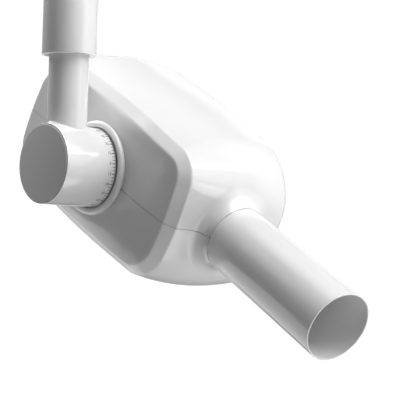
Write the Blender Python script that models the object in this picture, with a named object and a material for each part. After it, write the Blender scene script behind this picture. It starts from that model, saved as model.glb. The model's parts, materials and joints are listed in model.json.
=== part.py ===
"""Dental X-ray tube head with its knuckle and arm sleeve, as an assembly of separate solids.

Metres, +Z up. The origin is at the top of the arm sleeve, on the swivel axis. The knuckle's
drum lies along X and the beam points towards -Y, tilted down at rest.
"""
import math

import bmesh
import bpy
from mathutils import Matrix, Vector

MM = 0.001
GAP = 0.3 * MM                        # clearance between neighbouring pieces
FINE = 32                             # segments round the large visible turned pieces
PLAIN = 16                            # segments round the inner turned pieces
SMALL = 10                            # segments round screws and pins
BREAK = 0.6 * MM                      # chamfer that breaks a turned edge
OVERRUN = 2.0 * MM                    # how far a cutting tool runs past its work

# ---- arm sleeve and swivel, heights below the origin ----
SLEEVE_RADIUS = 25.0 * MM
SLEEVE_BORE = 21.0 * MM
SLEEVE_LAND_BORE = 16.2 * MM
SLEEVE_BOTTOM = -75.0 * MM
SLEEVE_TOP = -6.0 * MM
LAND_BOTTOM = -50.0 * MM
LAND_TOP = -35.0 * MM
SLEEVE_LIP_BORE = 19.2 * MM
SLEEVE_LIP_HEIGHT = 4.5 * MM
PLUG_SPIGOT_DEPTH = 14.0 * MM
PLUG_EDGE = 1.0 * MM
LOWER_BUSH_CLEARANCE = 1.5 * MM
UPPER_BUSH_LENGTH = 10.0 * MM
THRUST_WASHER_RADIUS = 19.0 * MM
CABLE_RADIUS = 2.5 * MM
CABLE_HOLE = 4.5 * MM
SPIGOT_RADIUS = 14.0 * MM
SPIGOT_BORE = 9.5 * MM
SPIGOT_TOP = -16.0 * MM
SPIGOT_BOTTOM = -119.7 * MM
CLIP_LOW = -22.9 * MM
CLIP_HIGH = -21.4 * MM
CLIP_BORE = 12.9 * MM
CLIP_RADIUS = 17.0 * MM
STOP_RING_LOW = -20.9 * MM
STOP_RING_HIGH = -16.6 * MM
STOP_RING_RADIUS = 16.0 * MM
STOP_RING_LOBE_RADIUS = 19.8 * MM
STOP_CLEARANCE = math.radians(0.8)    # left between a stop's lobe and its pin at the limit
SWIVEL_PIN_RADIUS = 1.6 * MM
SWIVEL_PIN_REACH = 18.2 * MM          # pin's distance from the swivel axis
SWIVEL_LIMIT = math.radians(165)
BRAKE_HEIGHT = -42.5 * MM
BRAKE_RADIUS = 4.0 * MM
BRAKE_PAD_START = 14.4 * MM
BRAKE_SCREW_START = 17.8 * MM
BRAKE_SOCKET_RADIUS = 2.0 * MM
BRAKE_SOCKET_DEPTH = 3.0 * MM
ADAPTER_SCREW_RADIUS = 2.5 * MM
ADAPTER_SCREW_HEIGHT = -10.0 * MM
ADAPTER_SCREW_START = 16.0 * MM
ADAPTER_SCREW_SINK = 0.5 * MM

# ---- knuckle, measured from the point where swivel and tilt axes cross ----
KNUCKLE_DROP = 175.0 * MM
STEM_RADIUS = 18.3 * MM
STEM_TOP = 105.0 * MM
STEM_BORE_STEP = 55.0 * MM
STEM_FLARE = 3.5 * MM
DRUM_RADIUS = 36.5 * MM
DRUM_BORE = 31.0 * MM
DRUM_CORE = 16.0 * MM                 # inner end of the solid that the cavity is bored from
DRUM_OPEN_END = -25.2 * MM
DRUM_RECESS = -23.0 * MM
DRUM_END = 29.8 * MM
WEB_FACE = 20.0 * MM
WEB_BORE = 18.1 * MM
CABLE_BORE_START = 20.0 * MM
CAP_EDGE = 0.8 * MM
BUSH_FLANGE = 1.6 * MM
TILT_PIN_START = -3.5 * MM
TILT_PIN_GRIP = 5.5 * MM
CAP_RADIUS = 35.3 * MM
CAP_FACE = -26.0 * MM
CAP_SKIRT_RADIUS = 30.7 * MM
CAP_SKIRT_BORE = 28.7 * MM
CAP_SKIRT_END = -15.0 * MM
SHAFT_RADIUS = 14.0 * MM
SHAFT_BORE = 8.0 * MM
SHAFT_START = -6.0 * MM
RUNNING_BORE = 14.3 * MM              # bore of everything threaded on the shaft
DISC_RADIUS = 23.5 * MM
TILT_PIN_RADIUS = 2.0 * MM
TILT_PIN_REACH = 26.3 * MM
TILT_RANGE = math.radians(290)
STOP_HUB_RADIUS = 19.0 * MM
STOP_LOBE_RADIUS = 28.4 * MM
STOP_DISC = (-2.0 * MM, 3.3 * MM)     # places along the shaft: start and end
LOCK_NUT = (3.6 * MM, 9.7 * MM)
PRESSURE_PLATE = (14.8 * MM, 16.3 * MM)
FRICTION_DISC = (16.6 * MM, 18.1 * MM)
LOCK_NUT_RADIUS = 21.0 * MM
NUT_SLOT_RADIUS = 17.5 * MM
NUT_SLOT_HALF = 2.5 * MM
SPRING_THICKNESS = 1.1 * MM
OUTER_SPRING = (13.4 * MM, 12.4 * MM)  # a disc spring's places: rim and hub
INNER_SPRING = (10.0 * MM, 11.0 * MM)
CABLE_SWING = -15.0 * MM              # how far the cable swings aside in the drum
CABLE_SHIFT = 45.0 * MM               # height where it starts to
CABLE_BEND = 12.0 * MM
CABLE_END = 49.0 * MM

# ---- head, measured from the tilt axis; U runs along the beam, W across it ----
BEAM_TILT = math.radians(29.6)
HEAD_CENTRE = 110.4 * MM
BOSS_FACE = 36.0 * MM
BOSS_RADIUS = 45.0 * MM
SHAFT_HOLE = 16.0 * MM
EDGE_HALF_WIDTH = 60.4 * MM           # centre to the outer edge of the chamfer band
CHAMFER_RUN = 10.0 * MM               # the chamfer band's width across the casing
CHAMFER = 9.0 * MM                    # and its depth round the outline
HALF_HEIGHT = 65.2 * MM
FRONT = 109.8 * MM
REAR = 129.0 * MM
TOP_BULGE = 2.6 * MM                  # swelling of the flat stretches
FRONT_BULGE = 4.7 * MM
REAR_BULGE = 4.0 * MM
UPPER_CORNERS = (26.0 * MM, 44.0 * MM, 53.0 * MM)    # front corner radii: arm side, middle, far side
LOWER_CORNERS = (37.0 * MM, 38.0 * MM, 34.0 * MM)
REAR_CORNER = 40.0 * MM
TOP_CROWN = 7.3 * MM                  # extra size at mid width
FRONT_CROWN = 3.0 * MM
REAR_CROWN = 8.0 * MM
FAR_SETBACK = 3.0 * MM                # the front falls back this much towards the far side
FAR_RISE = 1.5 * MM                   # and the top and bottom stand this much further out
CORNER_SHRINK = 0.6                   # how much less the corners' radii shrink when the form is set in
WIDTH_SHRINK = 0.4                    # and how much less its edges move in
BULGE_RUN = 0.5                       # part of a corner's radius that the swelling runs into
WALL = 3.0 * MM
SEAM_GAP = 0.3 * MM
CROWN_RINGS = 2                       # rings of facets on each side face
COLLAR_RADIUS = 43.2 * MM
COLLAR_RIM_BORE = 36.9 * MM
COLLAR_BEAD_END = 395                 # degrees round the rim's bead, from its inner side
COLLAR_TUCK = 1.3 * MM                # how far the bead tucks in again at its foot
COLLAR_FLOOR = 32.2 * MM
FLANGE_RADIUS = 26.0 * MM
FLANGE_START = 39.6 * MM
FLANGE_END = 43.7 * MM
BRACKET_START = 44.0 * MM
BRACKET_THICKNESS = 3.0 * MM
BRACKET_HALF = 34.0 * MM
BRACKET_HALF_HEIGHT = 28.0 * MM
SCREW_CIRCLE = 20.0 * MM
POST_RADIUS = 6.0 * MM
POST_SPREAD_FRONT = 52.0 * MM
POST_SPREAD_REAR = 50.0 * MM
POST_FRONT = 82.0 * MM
POST_REAR = -112.0 * MM
SCREW_SHANK = 2.0 * MM
SCREW_HEAD = 3.8 * MM
SCREW_SEAT = -44.0 * MM
SCREW_HEAD_HEIGHT = 4.0 * MM
SCREW_END = 12.0 * MM
TRUNNION_HEAD_HEIGHT = 2.5 * MM

# ---- neck and collimator, U along the beam ----
NECK_END = 127.3 * MM
NECK_RADIUS = 31.3 * MM
NECK_BORE = 29.3 * MM
NECK_FOOT_RADIUS = 47.0 * MM
NECK_FOOT = 117.0 * MM
CONE_START = 128.1 * MM
CONE_END = 282.7 * MM
CONE_MOUTH_RADIUS = 32.8 * MM
CONE_MOUTH_BORE = 31.5 * MM
CONE_SHOULDER_BORE = 29.6 * MM
CONE_SPIGOT_RADIUS = 28.9 * MM
CONE_SPIGOT_BORE = 26.4 * MM
CONE_SPIGOT_START = 106.0 * MM
PORT_RADIUS = 26.0 * MM
PORT_BORE = 23.0 * MM
PORT_FLANGE = 34.0 * MM
PORT_FLANGE_THICKNESS = 3.7 * MM
PORT_END = 122.0 * MM
FILTER_THICKNESS = 1.5 * MM
DIAPHRAGM = (1.8 * MM, 4.8 * MM)      # above the port's seat
DIAPHRAGM_BORE = 12.0 * MM
O_RING_GROOVE = (115.0 * MM, 118.0 * MM)
O_RING_GROOVE_RADIUS = 27.7 * MM
O_RING = (115.4 * MM, 117.6 * MM)
LINER_LENGTH = 45.0 * MM
LINER_WALL = 0.8 * MM

# ---- oil tank and what it holds ----
TANK_X = (56.0 * MM, 165.0 * MM)
TANK_U = (-86.0 * MM, 74.0 * MM)
TANK_W = (-50.0 * MM, 44.0 * MM)
TANK_WALL = 4.0 * MM
TANK_CORNER = 8.0 * MM
TANK_PORT_RADIUS = 20.0 * MM
GASKET_RIM = 1.5 * MM
GASKET_TOP = 1.3 * MM                 # above the tank's rim
LID = (1.6 * MM, 5.6 * MM)
TUBE_U = 42.0 * MM
CORE_U = (-66.0 * MM, -10.0 * MM)
CORE_X = (72.0 * MM, 148.8 * MM)
CORE_LEG = 16.0 * MM
CORE_YOKE = 14.0 * MM
CORE_HALF_STACK = 12.0 * MM
PRIMARY_BUILD = 7.0 * MM
SECONDARY_BUILD = 11.0 * MM
SHIELD_RADIUS = 21.0 * MM
SHIELD_BORE = 19.0 * MM
SHIELD_SPAN = (76.0 * MM, 145.0 * MM)
SHIELD_WINDOW = 13.0 * MM
SHIELD_WINDOW_DEPTH = (5.0 * MM, 30.0 * MM)
TARGET_ANGLE = math.radians(-20)
TARGET_OFFSET = 2.0 * MM
TARGET_TOOL = 20.0 * MM
ELECTRODE_STEM = 6.8 * MM
ANODE_RADIUS = 9.5 * MM
ANODE_HEAD = (106.0 * MM, 132.0 * MM)  # places along the tube
ANODE_STEM = (135.0 * MM, 159.0 * MM)
CUP_RADIUS = 10.0 * MM
CUP_BORE = 6.0 * MM
CUP_FLOOR_RADIUS = 4.0 * MM
CUP_HEAD = (91.0 * MM, 100.0 * MM)
CUP_STEM = (62.0 * MM, 88.0 * MM)
CUP_DEPTH = 3.0 * MM
FILAMENT_CORE = (5.0 * MM, 12.0 * MM)  # the small transformer's bore and radius
FILAMENT_CORE_HALF = 6.0 * MM
COIL_CORNER = 3.0 * MM
BELLOWS_START = -80.5 * MM
BELLOWS_PITCH = 3.6 * MM
BELLOWS_CREST = 19.5 * MM
BELLOWS_ROOT = 16.0 * MM
BELLOWS_WALL = 1.4 * MM
BOARD_PLACE = 98.0 * MM               # behind the tilt axis
BOARD_HALF = (38.0 * MM, 34.0 * MM)
BOARD_THICKNESS = 1.6 * MM
CAPACITOR_RADIUS = 9.0 * MM
CAPACITOR_LENGTH = 18.0 * MM
CAPACITOR_PLACE = (-18.0 * MM, 10.0 * MM)
TERMINAL_START = 50.0 * MM
TERMINAL_HALF = (12.0 * MM, 8.0 * MM)


# ---------------------------------------------------------------- materials
def material(name, colour, roughness, metallic=0.0, transmission=0.0):
    """A Principled material with a base colour, roughness and metallic value."""
    made = bpy.data.materials.get(name)
    if made:
        return made
    made = bpy.data.materials.new(name)
    made.use_nodes = True
    shader = made.node_tree.nodes["Principled BSDF"]
    shader.inputs["Base Color"].default_value = (*colour, 1.0)
    shader.inputs["Roughness"].default_value = roughness
    shader.inputs["Metallic"].default_value = metallic
    shader.inputs["Transmission Weight"].default_value = transmission
    made.diffuse_color = (*colour, 1.0)
    return made


def gloss_white():
    return material("gloss_white", (0.86, 0.86, 0.86), 0.18)


def painted_white():
    return material("painted_white", (0.86, 0.86, 0.86), 0.15)


def cap_grey():
    return material("cap_grey", (0.22, 0.22, 0.22), 0.55)


def steel():
    return material("steel", (0.62, 0.62, 0.64), 0.3, 1.0)


def aluminium():
    return material("aluminium", (0.77, 0.78, 0.79), 0.4, 1.0)


def bronze():
    return material("bronze", (0.62, 0.42, 0.2), 0.35, 1.0)


def bush_plastic():
    return material("bush_plastic", (0.75, 0.73, 0.66), 0.5)


def black_rubber():
    return material("black_rubber", (0.03, 0.03, 0.03), 0.8)


def lead():
    return material("lead", (0.3, 0.31, 0.33), 0.6, 0.8)


def copper():
    return material("copper", (0.72, 0.36, 0.22), 0.35, 1.0)


def core_steel():
    return material("core_steel", (0.2, 0.2, 0.22), 0.5, 0.9)


def winding():
    return material("winding", (0.55, 0.24, 0.1), 0.4, 0.5)


def clear_glass():
    return material("clear_glass", (0.85, 0.9, 0.9), 0.05, 0.0, 0.8)


def board_green():
    return material("board_green", (0.05, 0.25, 0.12), 0.45)


# ---------------------------------------------------------------- mesh tools
def empty(name, place, turn=(0.0, 0.0, 0.0), parent=None):
    """An axis or frame that pieces are parented to."""
    made = bpy.data.objects.new(name, None)
    made.location = place
    made.rotation_euler = turn
    made.parent = parent
    bpy.context.scene.collection.objects.link(made)
    return made


def piece(name, bm, finish, parent, place=(0, 0, 0), turn=(0, 0, 0), sharp=35):
    """Makes an object from a bmesh, faces out, smooth with sharp edges where it folds."""
    bmesh.ops.remove_doubles(bm, verts=bm.verts, dist=1e-6)
    bmesh.ops.recalc_face_normals(bm, faces=bm.faces)
    mesh = bpy.data.meshes.new(name)
    bm.to_mesh(mesh)
    bm.free()
    mesh.shade_smooth()
    mesh.set_sharp_from_angle(angle=math.radians(sharp))
    made = bpy.data.objects.new(name, mesh)
    made.location = place
    made.rotation_euler = turn
    made.parent = parent
    bpy.context.scene.collection.objects.link(made)
    if finish:
        mesh.materials.append(finish)
    return made


def turned_form(profile, segments):
    """Spins (radius, height) points about Z; a profile that starts on the axis ends there too."""
    bm = bmesh.new()
    verts = [bm.verts.new((r, 0.0, h)) for r, h in profile]
    on_axis = profile[0][0] == 0.0
    pairs = zip(verts, verts[1:] if on_axis else verts[1:] + verts[:1])
    edges = [bm.edges.new(pair) for pair in pairs]
    bmesh.ops.spin(bm, geom=verts + edges, cent=(0, 0, 0), axis=(0, 0, 1),
                   angle=math.tau, steps=segments, use_merge=True)
    bmesh.ops.remove_doubles(bm, verts=bm.verts, dist=1e-6)
    poles = [vert for vert in bm.verts if len(vert.link_edges) == segments and segments > 4]
    bmesh.ops.dissolve_verts(bm, verts=poles)
    return bm


def turned(name, profile, finish, parent, segments=PLAIN, **at):
    return piece(name, turned_form(profile, segments), finish, parent, **at)


def ring(name, inner, outer, low, high, finish, parent, segments=PLAIN, **at):
    """A plain tube or washer between two heights."""
    profile = [(inner, low), (outer, low), (outer, high), (inner, high)]
    return turned(name, profile, finish, parent, segments, **at)


def rod(name, radius, low, high, finish, parent, segments=PLAIN, **at):
    """A plain solid cylinder between two heights."""
    profile = [(0.0, low), (radius, low), (radius, high), (0.0, high)]
    return turned(name, profile, finish, parent, segments, **at)


def extruded_form(outline, low, high):
    """A flat outline in XY, pulled from one height to another."""
    bm = bmesh.new()
    face = bm.faces.new([bm.verts.new((x, y, low)) for x, y in outline])
    pulled = bmesh.ops.extrude_face_region(bm, geom=[face])
    moved = [item for item in pulled["geom"] if isinstance(item, bmesh.types.BMVert)]
    bmesh.ops.translate(bm, verts=moved, vec=(0, 0, high - low))
    return bm


def block_form(x, y, z):
    """A box from three (low, high) pairs."""
    outline = [(x[0], y[0]), (x[1], y[0]), (x[1], y[1]), (x[0], y[1])]
    return extruded_form(outline, z[0], z[1])


def arc(centre, radius, start, end, count):
    """Points along an arc in degrees, both ends included."""
    points = []
    for step in range(count + 1):
        angle = math.radians(start + (end - start) * step / count)
        points.append((centre[0] + radius * math.cos(angle), centre[1] + radius * math.sin(angle)))
    return points


def stop_outline(hub, lobe, half_angle):
    """Outline of a stop disc: a round hub with one wider lobe centred on +Y."""
    lobe_start = 90 - math.degrees(half_angle)
    lobe_end = 90 + math.degrees(half_angle)
    return arc((0, 0), lobe, lobe_start, lobe_end, 6) + arc((0, 0), hub, lobe_end, lobe_start + 360, 16)


def cutter(name, bm, parent, **at):
    """A tool body that shapes its neighbours and isn't part of the object."""
    made = piece(name, bm, None, parent, **at)
    made.display_type = "WIRE"
    made.hide_render = True
    return made


def rod_cutter(name, radius, low, high, parent, segments=PLAIN, **at):
    profile = [(0.0, low), (radius, low), (radius, high), (0.0, high)]
    return cutter(name, turned_form(profile, segments), parent, **at)


def combine(target, tool, operation):
    made = target.modifiers.new(tool.name[:40], "BOOLEAN")
    made.operation = operation
    made.solver = "EXACT"
    made.object = tool


def round_edges(target, width, segments=2, angle=40):
    made = target.modifiers.new("round_edges", "BEVEL")
    made.width = width
    made.segments = segments
    made.limit_method = "ANGLE"
    made.angle_limit = math.radians(angle)


# ---------------------------------------------------------------- arm sleeve and swivel
def make_adapter_screws(arm, sleeve, plug):
    for number in range(3):
        turn = (math.radians(90), 0, math.radians(30 + 120 * number))
        at = {"place": (0, 0, ADAPTER_SCREW_HEIGHT), "turn": turn}
        hole = rod_cutter(f"cut_adapter_{number + 1}", ADAPTER_SCREW_RADIUS + GAP,
                          ADAPTER_SCREW_START - GAP, SLEEVE_RADIUS + OVERRUN, arm, SMALL, **at)
        combine(sleeve, hole, "DIFFERENCE")
        combine(plug, hole, "DIFFERENCE")
        rod(f"adapter_screw_{number + 1}", ADAPTER_SCREW_RADIUS, ADAPTER_SCREW_START,
            SLEEVE_RADIUS - ADAPTER_SCREW_SINK, steel(), arm, SMALL, **at)


def make_sleeve(arm):
    profile = [(SLEEVE_RADIUS, SLEEVE_BOTTOM + BREAK), (SLEEVE_RADIUS, SLEEVE_TOP),
               (SLEEVE_BORE, SLEEVE_TOP), (SLEEVE_BORE, LAND_TOP),
               (SLEEVE_LAND_BORE, LAND_TOP), (SLEEVE_LAND_BORE, LAND_BOTTOM),
               (SLEEVE_BORE, LAND_BOTTOM), (SLEEVE_BORE, SLEEVE_BOTTOM),
               (SLEEVE_RADIUS - BREAK, SLEEVE_BOTTOM)]
    return turned("arm_sleeve", profile, painted_white(), arm, FINE)


def make_adapter_plug(arm):
    seat = SLEEVE_TOP + GAP
    spigot = SLEEVE_BORE - GAP
    profile = [(CABLE_HOLE, 0.0), (SLEEVE_RADIUS - PLUG_EDGE, 0.0), (SLEEVE_RADIUS, -PLUG_EDGE),
               (SLEEVE_RADIUS, seat), (spigot, seat), (spigot, -PLUG_SPIGOT_DEPTH),
               (CABLE_HOLE, -PLUG_SPIGOT_DEPTH)]
    return turned("arm_adapter_plug", profile, aluminium(), arm, FINE)


def make_swivel_bushes(arm):
    fit = SLEEVE_BORE - GAP
    lip_top = SLEEVE_BOTTOM + SLEEVE_LIP_HEIGHT
    ring("sleeve_end_ring", SLEEVE_LIP_BORE, fit, SLEEVE_BOTTOM, lip_top, painted_white(), arm, FINE)
    upper_end = LAND_TOP + UPPER_BUSH_LENGTH
    ring("lower_swivel_bush", RUNNING_BORE, fit, lip_top + LOWER_BUSH_CLEARANCE, LAND_BOTTOM - GAP,
         bush_plastic(), arm)
    ring("upper_swivel_bush", RUNNING_BORE, fit, LAND_TOP + GAP, upper_end, bush_plastic(), arm)
    ring("swivel_thrust_washer", RUNNING_BORE, THRUST_WASHER_RADIUS, upper_end + GAP, CLIP_LOW - GAP,
         bronze(), arm)


def make_swivel_brake(arm, sleeve):
    at = {"place": (0, 0, BRAKE_HEIGHT), "turn": (math.radians(-90), 0, 0)}
    hole = rod_cutter("cut_brake", BRAKE_RADIUS + GAP, SLEEVE_LAND_BORE - 2 * OVERRUN,
                      SLEEVE_RADIUS + OVERRUN, arm, **at)
    combine(sleeve, hole, "DIFFERENCE")
    rod("swivel_brake_pad", BRAKE_RADIUS, BRAKE_PAD_START, BRAKE_SCREW_START - GAP,
        bush_plastic(), arm, **at)
    screw = rod("swivel_brake_screw", BRAKE_RADIUS, BRAKE_SCREW_START, SLEEVE_RADIUS,
                steel(), arm, **at)
    socket = rod_cutter("cut_brake_socket", BRAKE_SOCKET_RADIUS, SLEEVE_RADIUS - BRAKE_SOCKET_DEPTH,
                        SLEEVE_RADIUS + OVERRUN, arm, 6, **at)
    combine(screw, socket, "DIFFERENCE")


def make_swivel_stop(arm, yoke_top):
    """A pin under the plug and a lobed ring on the spigot, which meet at the swivel's limits."""
    rod("swivel_stop_pin", SWIVEL_PIN_RADIUS, STOP_RING_LOW, -PLUG_SPIGOT_DEPTH - GAP,
        steel(), arm, SMALL, place=(0, SWIVEL_PIN_REACH, 0))
    pin_half = math.asin(SWIVEL_PIN_RADIUS / SWIVEL_PIN_REACH)
    lobe_half = math.pi - SWIVEL_LIMIT - pin_half - STOP_CLEARANCE
    outline = stop_outline(STOP_RING_RADIUS, STOP_RING_LOBE_RADIUS, lobe_half)
    disc = piece("swivel_stop_ring", extruded_form(outline, STOP_RING_LOW, STOP_RING_HIGH),
                 steel(), yoke_top, turn=(0, 0, math.pi))
    bore = rod_cutter("cut_stop_ring", RUNNING_BORE, STOP_RING_LOW - OVERRUN, STOP_RING_HIGH + OVERRUN,
                      yoke_top)
    combine(disc, bore, "DIFFERENCE")


def make_arm(arm):
    sleeve = make_sleeve(arm)
    plug = make_adapter_plug(arm)
    make_adapter_screws(arm, sleeve, plug)
    make_swivel_bushes(arm)
    make_swivel_brake(arm, sleeve)


# ---------------------------------------------------------------- knuckle
def stem_form():
    """The stem, whose foot flares onto the drum's round back."""
    segments = FINE - 8
    flare_steps = 3
    foot_depth = 10 * MM
    foot_sink = 0.15 * MM
    bm = bmesh.new()
    rows = []
    for row in range(flare_steps + 3):
        loop = []
        for step in range(segments):
            angle = math.tau * step / segments
            foot_radius = STEM_RADIUS + STEM_FLARE
            across = foot_radius * math.sin(angle)
            foot = math.sqrt(DRUM_RADIUS ** 2 - across ** 2) - foot_sink
            sweep = math.radians(90) * min(max(row - 1, 0), flare_steps) / flare_steps
            radius = STEM_RADIUS + STEM_FLARE * (1 - math.sin(sweep))
            height = foot + STEM_FLARE * (1 - math.cos(sweep))
            if row == 0:
                height = DRUM_RADIUS - foot_depth
            if row == flare_steps + 2:
                height = STEM_TOP
            loop.append(bm.verts.new((radius * math.cos(angle), radius * math.sin(angle), height)))
        rows.append(loop)
    for low, high in zip(rows, rows[1:]):
        for step in range(segments):
            after = (step + 1) % segments
            bm.faces.new((low[step], low[after], high[after], high[step]))
    bm.faces.new(rows[0])
    bm.faces.new(rows[-1])
    return bm


def make_housing(yoke, along_x):
    """Drum and stem as one casting, hollow for the tilt brake and the cable."""
    pocket = CAP_RADIUS + GAP
    profile = [(0.0, DRUM_CORE), (WEB_BORE, DRUM_CORE), (WEB_BORE, DRUM_END),
               (DRUM_RADIUS - BREAK, DRUM_END), (DRUM_RADIUS, DRUM_END - BREAK),
               (DRUM_RADIUS, DRUM_OPEN_END + BREAK),
               (DRUM_RADIUS - BREAK / 3, DRUM_OPEN_END + BREAK / 3),
               (DRUM_RADIUS - BREAK, DRUM_OPEN_END), (pocket, DRUM_OPEN_END),
               (pocket, DRUM_RECESS), (0.0, DRUM_RECESS)]
    housing = turned("knuckle_housing", profile, painted_white(), yoke, FINE + 4, turn=along_x)
    stem = cutter("tool_stem", stem_form(), yoke)
    combine(housing, stem, "UNION")
    cavity = rod_cutter("cut_drum_cavity", DRUM_BORE, DRUM_RECESS - OVERRUN, WEB_FACE, yoke, FINE - 4,
                        turn=along_x)
    combine(housing, cavity, "DIFFERENCE")
    wide_bore = rod_cutter("cut_spigot_bore", SPIGOT_RADIUS + GAP, STEM_BORE_STEP,
                           STEM_TOP + OVERRUN, yoke, FINE - 8)
    combine(housing, wide_bore, "DIFFERENCE")
    cable_bore = rod_cutter("cut_cable_bore", SPIGOT_BORE, CABLE_BORE_START, STEM_BORE_STEP + OVERRUN,
                            yoke)
    combine(housing, cable_bore, "DIFFERENCE")
    return housing


def make_spigot(yoke_top):
    groove = CLIP_BORE - GAP
    profile = [(SPIGOT_BORE, SPIGOT_BOTTOM), (SPIGOT_RADIUS, SPIGOT_BOTTOM),
               (SPIGOT_RADIUS, CLIP_LOW - GAP), (groove, CLIP_LOW - GAP),
               (groove, CLIP_HIGH + GAP), (SPIGOT_RADIUS, CLIP_HIGH + GAP),
               (SPIGOT_RADIUS, SPIGOT_TOP), (SPIGOT_BORE, SPIGOT_TOP)]
    turned("swivel_spigot", profile, steel(), yoke_top)
    ring("swivel_retaining_ring", CLIP_BORE, CLIP_RADIUS, CLIP_LOW, CLIP_HIGH, steel(), yoke_top)


def make_end_cap(yoke, along_x):
    seat = DRUM_RECESS - GAP
    profile = [(0.0, CAP_FACE), (CAP_RADIUS - CAP_EDGE, CAP_FACE),
               (CAP_RADIUS - CAP_EDGE / 4, CAP_FACE + CAP_EDGE / 4), (CAP_RADIUS, CAP_FACE + CAP_EDGE),
               (CAP_RADIUS, seat), (CAP_SKIRT_RADIUS, seat), (CAP_SKIRT_RADIUS, CAP_SKIRT_END),
               (CAP_SKIRT_BORE, CAP_SKIRT_END), (CAP_SKIRT_BORE, seat), (0.0, seat)]
    turned("end_cap", profile, cap_grey(), yoke, FINE, turn=along_x)


def make_tilt_bush(yoke, along_x):
    flange_face = WEB_FACE - BUSH_FLANGE
    profile = [(RUNNING_BORE, flange_face), (DISC_RADIUS, flange_face),
               (DISC_RADIUS, WEB_FACE - GAP), (WEB_BORE - GAP, WEB_FACE - GAP),
               (WEB_BORE - GAP, DRUM_END - GAP), (RUNNING_BORE, DRUM_END - GAP)]
    turned("tilt_bush", profile, bush_plastic(), yoke, turn=along_x)


def make_cable(yoke):
    """The head's supply cable, down the stem, round the bend and through the hollow shaft."""
    drop = KNUCKLE_DROP - CABLE_SHIFT
    points = [Vector((0, 0, KNUCKLE_DROP - drop * step / 10)) for step in range(10)]
    for step in range(13):
        part = step / 12
        ease = part * part * (3 - 2 * part)
        points.append(Vector((CABLE_SWING * ease, 0, CABLE_SHIFT + (CABLE_BEND - CABLE_SHIFT) * part)))
    for step in range(1, 9):
        angle = math.radians(90) * step / 8
        points.append(Vector((CABLE_SWING + CABLE_BEND * (1 - math.cos(angle)), 0,
                              CABLE_BEND * (1 - math.sin(angle)))))
    shaft_start = CABLE_SWING + CABLE_BEND
    for step in range(1, 6):
        points.append(Vector((shaft_start + (CABLE_END - shaft_start) * step / 5, 0, 0)))
    curve = bpy.data.curves.new("head_cable", "CURVE")
    curve.dimensions = "3D"
    curve.bevel_depth = CABLE_RADIUS
    curve.bevel_resolution = 2
    curve.use_fill_caps = True
    line = curve.splines.new("POLY")
    line.points.add(len(points) - 1)
    for target, point in zip(line.points, points):
        target.co = (*point, 1.0)
    made = bpy.data.objects.new("head_cable", curve)
    made.parent = yoke
    bpy.context.scene.collection.objects.link(made)
    curve.materials.append(black_rubber())


def make_yoke(yoke, yoke_top):
    along_x = (0, math.radians(90), 0)
    housing = make_housing(yoke, along_x)
    make_spigot(yoke_top)
    make_end_cap(yoke, along_x)
    make_tilt_bush(yoke, along_x)
    make_cable(yoke)
    pin_place = (0, 0, -TILT_PIN_REACH)
    pin_end = WEB_FACE + TILT_PIN_GRIP
    pin_hole = rod_cutter("cut_tilt_pin", TILT_PIN_RADIUS + GAP, WEB_FACE - OVERRUN, pin_end + GAP,
                          yoke, SMALL, place=pin_place, turn=along_x)
    combine(housing, pin_hole, "DIFFERENCE")
    rod("tilt_stop_pin", TILT_PIN_RADIUS, TILT_PIN_START, pin_end, steel(), yoke, SMALL,
        place=pin_place, turn=along_x)


# ---------------------------------------------------------------- tilt brake on the shaft
def disc_spring(name, places, head, along_x):
    rim, hub = places
    rim_radius = DISC_RADIUS - 1 * MM
    profile = [(RUNNING_BORE, hub), (rim_radius, rim), (rim_radius, rim + SPRING_THICKNESS),
               (RUNNING_BORE, hub + SPRING_THICKNESS)]
    turned(name, profile, steel(), head, turn=along_x)


def make_lock_nut(head, along_x):
    """A round nut with four spanner slots in its rim."""
    low, high = LOCK_NUT
    nut = ring("tilt_lock_nut", RUNNING_BORE, LOCK_NUT_RADIUS, low, high, steel(), head, FINE - 8,
               turn=along_x)
    for number in range(4):
        slot = block_form((NUT_SLOT_RADIUS, LOCK_NUT_RADIUS + OVERRUN), (-NUT_SLOT_HALF, NUT_SLOT_HALF),
                          (low - 0.5 * MM, high + 0.5 * MM))
        stand = Matrix.Rotation(math.radians(90 * number), 3, "X") @ Matrix.Rotation(math.radians(90), 3, "Y")
        spanner_slot = cutter(f"cut_nut_slot_{number + 1}", slot, head, turn=stand.to_euler())
        combine(nut, spanner_slot, "DIFFERENCE")


def make_stop_disc(head, along_x):
    """A lobed disc that meets the stop pin at both ends of the tilt."""
    pin_half = math.asin(TILT_PIN_RADIUS / TILT_PIN_REACH)
    lobe_half = (math.tau - TILT_RANGE) / 2 - pin_half - STOP_CLEARANCE
    outline = stop_outline(STOP_HUB_RADIUS, STOP_LOBE_RADIUS, lobe_half)
    stand = Matrix.Rotation(math.radians(90), 3, "Z") @ Matrix.Rotation(math.radians(90), 3, "X")
    low, high = STOP_DISC
    disc = piece("tilt_stop_disc", extruded_form(outline, low, high), steel(), head,
                 turn=stand.to_euler())
    bore = rod_cutter("cut_stop_disc", RUNNING_BORE, low - OVERRUN, high + OVERRUN, head, turn=along_x)
    combine(disc, bore, "DIFFERENCE")


def make_tilt_brake(head, along_x):
    ring("tilt_friction_disc", RUNNING_BORE, DISC_RADIUS, *FRICTION_DISC, black_rubber(), head,
         turn=along_x)
    ring("tilt_pressure_plate", RUNNING_BORE, DISC_RADIUS, *PRESSURE_PLATE, steel(), head,
         turn=along_x)
    disc_spring("disc_spring_1", OUTER_SPRING, head, along_x)
    disc_spring("disc_spring_2", INNER_SPRING, head, along_x)
    make_lock_nut(head, along_x)
    make_stop_disc(head, along_x)


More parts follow.
